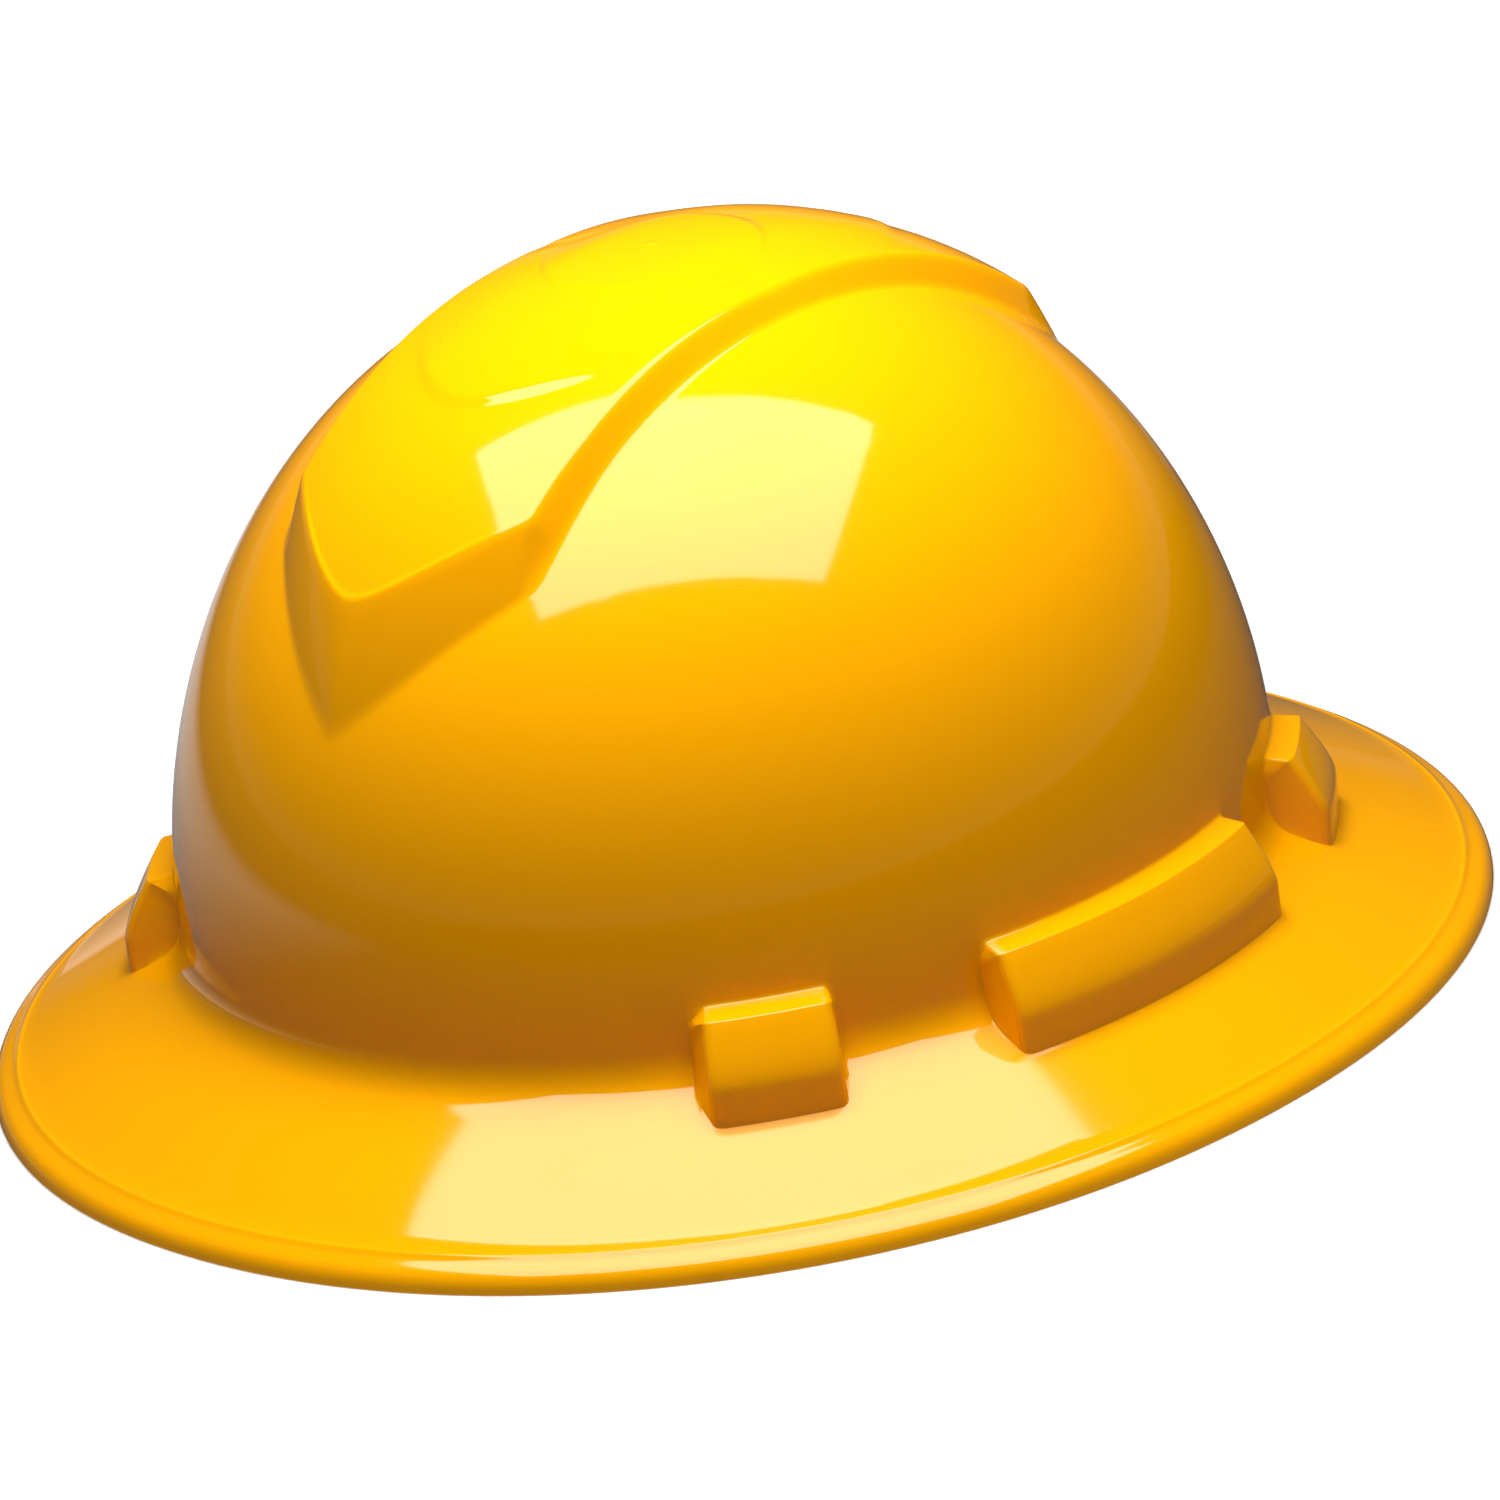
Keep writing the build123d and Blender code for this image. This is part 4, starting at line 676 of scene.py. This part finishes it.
for side, crown, middle, way in STRAPS:
    half = strap_route(crown)
    route = np.concatenate([half[::-1] * (-1, 1), half[1:]])
    grid, cloth_grid = swept_web(route, middle, way)
    points, cloth = grid.reshape(-1, 3), cloth_grid.reshape(-1, 2)
    faces = grid_faces(*grid.shape[:2], 0, closed=True)
    strap = piece_mesh(f"crown_strap_{side}_web", points, faces, sharp=50, cloth=cloth)
    closer = bmesh.new()
    closer.from_mesh(strap.data)
    bmesh.ops.holes_fill(closer, edges=[edge for edge in closer.edges if edge.is_boundary])
    bmesh.ops.recalc_face_normals(closer, faces=closer.faces)
    closer.to_mesh(strap.data)
    closer.free()
    strap.data.materials.append(webbing)
    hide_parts(f"crown_strap_{side}")
    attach(strap, "shell_body")
    marks = box_stitch()
    size = arch_radius(crown)
    reach = math.asin(STRAP_END / size) * size - SEAM_BACK
    points, faces, count = [], [], 0
    for sign in (-1, 1):
        for out, face in ((STRAP_WALL / 2, -1), (STRAP_WALL * 1.5 + TAIL_GAP, 1)):
            turn = (reach + marks[..., 0]) / size
            far = size + face * out
            lift = np.stack([np.sin(turn) * sign * way[0], np.sin(turn) * sign * way[1], np.cos(turn)], -1)
            place = lift * far + (*middle, crown - size)
            place = place + marks[..., 1:] * (-way[1], way[0], 0)
            normal = lift.mean(1) / np.linalg.norm(lift.mean(1), axis=1)[:, None] * face
            block, quads = stitches(place[:, 0], place[:, 1], normal, SEAM_THREAD)
            points.append(block)
            faces.append(quads + count)
            count += len(block)
    seam = piece_mesh(f"crown_strap_{side}_stitching", np.concatenate(points), np.concatenate(faces))
    seam.data.materials.append(thread)
    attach(seam, "shell_body")

# Pads: brow pad, nape pad and the round crown patch, each of thin foam between two layers of black
# knitted polyester, closed by a sewn edge. The pads wrap the headband, the patch hangs under the webs.
BROW_LENGTH, BROW_HALF, BROW_MIDDLE, BROW_TURN, BROW_GAP = 110, 80, 26, math.radians(62), 0.3
NAPE_RADIUS, NAPE_TURN, NAPE_MIDDLE = 79.7, math.radians(21), 20
HEAD_CENTRE = 9
PATCH_RADIUS, PATCH_CENTRE, PATCH_TURN = 108.616, 11.484, math.radians(7.938)
SEWN_EDGE, EDGE_ROUND, CHANNEL_DEPTH, CHANNEL_WIDTH = 2.4, 0.4, 0.62, 1.9
PUCKER_DEPTH, PUCKER_PLACE, PUCKER_WIDTH, SAG_DEPTH = 0.09, 4.2, 1.6, 0.035
LOCK_INSIDE, LOCK_PITCH, LOCK_THREAD = 1.5, 2.6, 0.4


def brow_outline(turn, inset):
    """Distance out to the headband's ellipse: 1 / sqrt((sin / a)^2 + (cos / b)^2), a and b less inset."""
    across, ahead = np.sin(turn) / (BROW_HALF - inset), np.cos(turn) / (BROW_LENGTH - inset)
    return 1 / np.sqrt(across**2 + ahead**2)


brow_turns = np.linspace(-BROW_TURN, BROW_TURN, 400)
brow_line = brow_outline(brow_turns, BROW_GAP) * [np.sin(brow_turns), np.cos(brow_turns)]
brow_steps = np.hypot(*np.diff(brow_line, axis=1))
brow_run = np.concatenate([[0], np.cumsum(brow_steps)]) - brow_steps.sum() / 2


def brow_place(along, up, depth):
    """Point of the brow pad from its flat pattern: along the ellipse, up from the middle, in to the head."""
    turn = np.interp(along, brow_run, brow_turns)
    out = brow_outline(turn, BROW_GAP + depth)
    return np.stack([out * np.sin(turn), HEAD_CENTRE - out * np.cos(turn), BROW_MIDDLE + up], -1)


def nape_place(along, up, depth):
    """Point of the nape pad from its flat pattern, wrapped on a cylinder of NAPE_RADIUS."""
    turn = along / NAPE_RADIUS
    out = NAPE_RADIUS - depth
    return np.stack([out * np.sin(turn), HEAD_CENTRE + out * np.cos(turn), NAPE_MIDDLE + up], -1)


def patch_place(along, up, depth):
    """Point of the crown patch from its flat pattern, laid on a sphere of PATCH_RADIUS."""
    turn = np.hypot(along, up) / PATCH_RADIUS
    way = np.arctan2(up, along)
    out = PATCH_RADIUS - depth
    across = out * np.sin(turn)
    return np.stack([across * np.cos(way), across * np.sin(way), PATCH_CENTRE + out * np.cos(turn)], -1)


def edge_distance(along, up, half, corner):
    """Distance in from a rounded rectangle, corner - |(a+, b+)| - min(max(a, b), 0), a and b past corners."""
    a, b = np.abs(along) - (half[0] - corner), np.abs(up) - (half[1] - corner)
    return corner - np.hypot(np.maximum(a, 0), np.maximum(b, 0)) - np.minimum(np.maximum(a, b), 0)


def pad_depth(along, up, half, corner, full, seam, channels):
    """Thickness of a filled pad over its flat pattern.

    The edge is seam thick, with a quarter round of EDGE_ROUND. Inside SEWN_EDGE a quarter sine lifts a pillow
    to full. A channel takes CHANNEL_DEPTH * exp(-(d / CHANNEL_WIDTH)^2) of it away. Puckers, a product of two
    wavy cosines about 6 mm long, follow the seam, and a slow wave makes the filling uneven.
    """
    inside = edge_distance(along, up, half, corner)
    edge = seam * np.sqrt(1 - (1 - np.clip(inside / EDGE_ROUND, 0, 1)) ** 2)
    pillow = np.sin(np.clip((inside - SEWN_EDGE) / (1.9 * full), 0, 1) * np.pi / 2) ** 0.85
    for channel in channels:
        pillow = pillow * (1 - CHANNEL_DEPTH * np.exp(-((along - channel) / CHANNEL_WIDTH) ** 2))
    pucker = np.cos(along * 1.13 + 0.6 * np.sin(up * 0.9)) * np.cos(up * 1.05 + 0.5 * np.sin(along * 0.37))
    pucker = PUCKER_DEPTH * full * pucker * np.exp(-((inside - PUCKER_PLACE) / PUCKER_WIDTH) ** 2)
    sag = SAG_DEPTH * full * np.sin(along * 0.19 + 1.2) * np.sin(up * 0.31 + along * 0.06)
    return edge + (full * 0.94 - seam) * pillow + (pucker + sag) * pillow


def pad_mesh(name, place, half, corner, full, seam, channels):
    """Closed pad: a flat back and a filled front on one grid, merged along the outline, where depth is 0.

    Its rows and columns crowd at the edges, and the rows shorten round the corners by sqrt(r^2 - b^2).
    """
    inset = np.array([0, 0.06, 0.16, 0.28, 0.4, 1.0, 1.7, 2.4, 3.0, 3.7, 4.5, 5.4, 6.5, 8.0, 10.0, 12.0])
    inset = inset[inset < half[1] - 0.8]
    rows = np.concatenate([inset / half[1] - 1, [0], 1 - inset[::-1] / half[1]])
    middle = np.zeros(1)
    if half[0] > 16:
        middle = np.linspace(-(half[0] - 8), half[0] - 8, max(9, int(half[0] * 1.5)) | 1)
    side = inset[inset < half[0] - middle[-1] - 0.3]
    along = np.concatenate([side - half[0], middle, half[0] - side[::-1]])
    bend = np.clip(np.abs(along) - (half[0] - corner), 0, corner)
    reach = half[1] - corner + np.sqrt(corner**2 - bend**2)
    along, up = np.broadcast_arrays(along[None], rows[:, None] * reach[None])
    depth = pad_depth(along, up, half, corner, full, seam, channels)
    blocks = [place(along, up, np.zeros(depth.shape)), place(along, up, depth)]
    quads = [grid_faces(*depth.shape, number * depth.size) for number in range(2)]
    flat = np.stack([along, up], -1).reshape(-1, 2)
    points = np.concatenate([block.reshape(-1, 3) for block in blocks])
    return piece_mesh(name, points, np.concatenate(quads), cloth=np.concatenate([flat, flat]))


def pad_seam(name, place, half, corner, full, seam, channels):
    """Lockstitch round a pad, LOCK_INSIDE its outline, and down its channels, on the filled surface.

    Each line is cut into even steps of about LOCK_PITCH, and a stitch takes up the middle 0.8 of a step.
    """
    turn = np.radians(np.arange(0, 360, 5))
    round_corner = np.stack([np.cos(turn), np.sin(turn)], -1)
    loop = np.sign(round_corner) * (np.asarray(half) - corner) + (corner - LOCK_INSIDE) * round_corner
    lines = [np.concatenate([loop, loop[:1]])]
    lines += [np.array([[c, -half[1] + LOCK_INSIDE], [c, half[1] - LOCK_INSIDE]]) for c in channels]
    starts, ends = [], []
    for line in lines:
        steps = run_along(line)
        count = int(steps[-1] / LOCK_PITCH)
        for share, marks in ((0.1, starts), (0.9, ends)):
            at = (np.arange(count) + share) * steps[-1] / count
            marks.append(np.stack([np.interp(at, steps, line[:, 0]), np.interp(at, steps, line[:, 1])], -1))
    starts, ends = np.concatenate(starts), np.concatenate(ends)
    marks = []
    for flat in (starts, ends, (starts + ends) / 2):
        depth = pad_depth(flat[:, 0], flat[:, 1], half, corner, full, seam, channels)
        marks.append((place(flat[:, 0], flat[:, 1], depth), place(flat[:, 0], flat[:, 1], depth + 1)))
    return piece_mesh(name, *stitches(marks[0][0], marks[1][0], marks[2][1] - marks[2][0], LOCK_THREAD))


# Knit: looped polyester yarn, soft and dull, paler at a low angle, in columns of V-shaped stitches 1.6 mm
# apart with 1.25 mm from row to row. Real stitches are finer, and these are drawn large enough to show.
WALE, COURSE, RIB_RISE = 1.6, 1.25, 5.0
hairs = {"Sheen_Weight": 0.45, "Sheen_Roughness": 0.5}
knit, tree, surface = plain_material("polyester_knit_over_foam", "#26262A", 0.86, **hairs)
cloth = add_node(tree, "Attribute", attribute_name="cloth")
flat = add_node(tree, "SeparateXYZ", [(cloth.outputs["Vector"], "Vector")])
wale = add_node(tree, "Math", [(flat.outputs["X"], 0), (WALE, 1)], operation="DIVIDE")
slant = add_node(tree, "Math", [(wale.outputs[0], 0), (0.5, 1)], operation="PINGPONG")
rows = [(flat.outputs["Y"], 0), (1 / COURSE, 1), (slant.outputs[0], 2)]
course = add_node(tree, "Math", rows, operation="MULTIPLY_ADD")
turn = add_node(tree, "Math", [(course.outputs[0], 0), (2 * math.pi, 1)], operation="MULTIPLY")
loop = add_node(tree, "Math", [(turn.outputs[0], 0)], operation="SINE")
column = add_node(tree, "Math", [(slant.outputs[0], 0), (0.25, 1)], operation="PINGPONG")
ribs = [(column.outputs[0], 0), (RIB_RISE, 1), (loop.outputs[0], 2)]
knitted = add_node(tree, "Math", ribs, operation="MULTIPLY_ADD")
lifted = add_node(tree, "MapRange", [(knitted.outputs[0], "Value")], From_Min=-1.0, From_Max=2.25)
# Tone painted from the stitch height: painted highlight on the raised loops, painted shade in the hollows.
tones = [(lifted.outputs["Result"], 0), (hex_colour("#151517"), 6), (hex_colour("#3A3A40"), 7)]
knit_painted_shade = add_node(tree, "Mix", tones, data_type="RGBA")
bulk = [(lifted.outputs["Result"], "Height")]
raised = add_node(tree, "Bump", bulk, Strength=0.7, Distance=0.0003)
lead_in(surface, Base_Color=knit_painted_shade.outputs[2], Normal=raised.outputs["Normal"])

nape_half, patch_half = NAPE_RADIUS * NAPE_TURN, PATCH_RADIUS * PATCH_TURN
for name, body, place, half, corner, full, seam, channels in (
    ("brow_pad", "headband_body", brow_place, (brow_run[-1], 13.7), 9.0, 3.0, 0.8, (-34, 0, 34)),
    ("nape_pad", "headband_body", nape_place, (nape_half, 14.2), 8.0, 3.0, 0.8, ()),
    ("crown_patch", "shell_body", patch_place, (patch_half, patch_half), patch_half, 1.5, 0.6, ()),
):
    pad = pad_mesh(f"{name}_knit", place, half, corner, full, seam, channels)
    pad.data.materials.append(knit)
    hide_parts(name)
    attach(pad, body)
    sewing = pad_seam(f"{name}_stitching", place, half, corner, full, seam, channels)
    sewing.data.materials.append(thread)
    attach(sewing, body)

# Studio: a sheet of matt white paper under the hat, lit by a softbox close overhead that mirrors in the
# dome and the brim, and by a small gridded lamp over the crown.
FLOOR_HALF = 6
floor_mesh = bpy.data.meshes.new("paper_floor")
corners = FLOOR_HALF * np.array([(-1, -1, 0), (1, -1, 0), (1, 1, 0), (-1, 1, 0)])
floor_mesh.from_pydata(corners, [], [(0, 1, 2, 3)])
floor = bpy.data.objects.new("paper_floor", floor_mesh)
bpy.context.scene.collection.objects.link(floor)

# Paper: matt and pale to the camera, and darker to the rays that carry light to the hat, so that its lower
# walls are nearly as deep in tone as in the photograph.
shineless = {"Specular_IOR_Level": 0.0, "Emission_Color": (1, 1, 1, 1)}
paper, tree, surface = plain_material("matt_white_paper", "#BEBEBE", 0.9, **shineless)
seen = add_node(tree, "LightPath")
greys = [(seen.outputs["Is Glossy Ray"], 0), (hex_colour("#646464"), 6), (hex_colour("#303030"), 7)]
bounce = add_node(tree, "Mix", greys, data_type="RGBA")
greys = [(seen.outputs["Is Camera Ray"], 0), (bounce.outputs[2], 6), (hex_colour("#E8E8E8"), 7)]
pale = add_node(tree, "Mix", greys, data_type="RGBA")

# The paper glows for one kind of ray at a time: for the camera away from the hat, which leaves a soft shadow
# under it; for reflections in a pale card on the left; and close to the rim for the light on the rim's edge.
spot = add_node(tree, "TexCoord")
away = add_node(tree, "VectorMath", [(spot.outputs["Object"], 0)], operation="LENGTH")
place = add_node(tree, "SeparateXYZ", [(spot.outputs["Object"], "Vector")])
fades = {}
for name, source, start, end, first, last in (
    ("near", away.outputs["Value"], 0.16, 0.5, 0.2, 1.0),
    ("far", away.outputs["Value"], 0.42, 0.56, 0.6, 0.05),
    ("left", place.outputs["X"], -0.3, -0.12, 1.0, 0.08),
    ("ring", away.outputs["Value"], 0.16, 0.22, 0.6, 0.0),
):
    ramp = [(source, "Value"), (start, "From Min"), (end, "From Max"), (first, "To Min"), (last, "To Max")]
    fades[name] = add_node(tree, "MapRange", ramp).outputs["Result"]
glows = {}
for name, first, second, operation in (
    ("card", fades["far"], fades["left"], "MULTIPLY"),
    ("mirror", seen.outputs["Is Glossy Ray"], seen.outputs["Is Transmission Ray"], "MAXIMUM"),
    ("near", fades["near"], seen.outputs["Is Camera Ray"], "MULTIPLY"),
    ("left", "card", "mirror", "MULTIPLY"),
    ("ring", fades["ring"], seen.outputs["Is Diffuse Ray"], "MULTIPLY"),
    ("side", "left", "ring", "MAXIMUM"),
    ("all", "near", "side", "MAXIMUM"),
):
    pair = [(glows.get(first, first), 0), (glows.get(second, second), 1)]
    glows[name] = add_node(tree, "Math", pair, operation=operation).outputs[0]
lead_in(surface, Base_Color=pale.outputs[2], Emission_Strength=glows["all"])

# From below the sheet is clear, so that a view from under the hat sees through it.
under = add_node(tree, "NewGeometry")
clear = add_node(tree, "BsdfTransparent")
sides = [(under.outputs["Backfacing"], 0), (surface.outputs[0], 1), (clear.outputs[0], 2)]
one_sided = add_node(tree, "MixShader", sides)
lead_in(tree.nodes["Material Output"], Surface=one_sided.outputs[0])
floor_mesh.materials.append(paper)

# The studio round it is white to the camera. Reflections see it dark, a little paler low down, and almost no
# light comes from it.
LOW_GREY, HIGH_GREY, ROOM_GREY, LOW_BAND = 0.14, 0.03, 0.012, 0.1
world = bpy.data.worlds.new("pale_studio")
bpy.context.scene.world = world
world.use_nodes = True
tree = world.node_tree
sky = tree.nodes["Background"]
sky.inputs["Strength"].default_value = 1.0
direction = add_node(tree, "TexCoord")
height = add_node(tree, "SeparateXYZ", [(direction.outputs["Generated"], "Vector")])
dome = add_node(tree, "ValToRGB", [(height.outputs["Z"], "Fac")])
for stop, position, grey in zip(dome.color_ramp.elements, (0.0, LOW_BAND), (LOW_GREY, HIGH_GREY)):
    stop.position, stop.color = position, (grey, grey, grey, 1)
seen = add_node(tree, "LightPath")
rays = [(seen.outputs["Is Glossy Ray"], 0), (seen.outputs["Is Transmission Ray"], 1)]
shiny = add_node(tree, "Math", rays, operation="MAXIMUM")
greys = [(shiny.outputs[0], 0), ((ROOM_GREY, ROOM_GREY, ROOM_GREY, 1), 6), (dome.outputs["Color"], 7)]
mirrored = add_node(tree, "Mix", greys, data_type="RGBA")
greys = [(seen.outputs["Is Camera Ray"], 0), (mirrored.outputs[2], 6), ((1, 1, 1, 1), 7)]
white = add_node(tree, "Mix", greys, data_type="RGBA")
lead_in(sky, Color=white.outputs[2])


def softbox(name, place, size, turn, spread, power):
    """A rectangular area lamp in metres and watts that faces down, its beam spread degrees wide."""
    lamp = bpy.data.lights.new(name, "AREA")
    lamp.shape, lamp.size, lamp.size_y, lamp.energy = "RECTANGLE", size[0], size[1], power
    lamp.spread = math.radians(spread)
    box = bpy.data.objects.new(name, lamp)
    box.location = place
    box.rotation_euler = (0, 0, math.radians(turn))
    bpy.context.scene.collection.objects.link(box)
    return box


softbox("overhead_softbox", (0.1205, -0.0595, 0.60), (0.663, 0.453), 45, 180, 5.2)
# The small lamp lifts the crown. It stays out of the reflections, which in the photograph show one window.
crown_lamp = softbox("crown_softbox", (0.02, -0.02, 0.55), (0.2, 0.2), 0, 100, 0.52)
crown_lamp.visible_glossy = False

bpy.context.scene.view_settings.view_transform = "Standard"
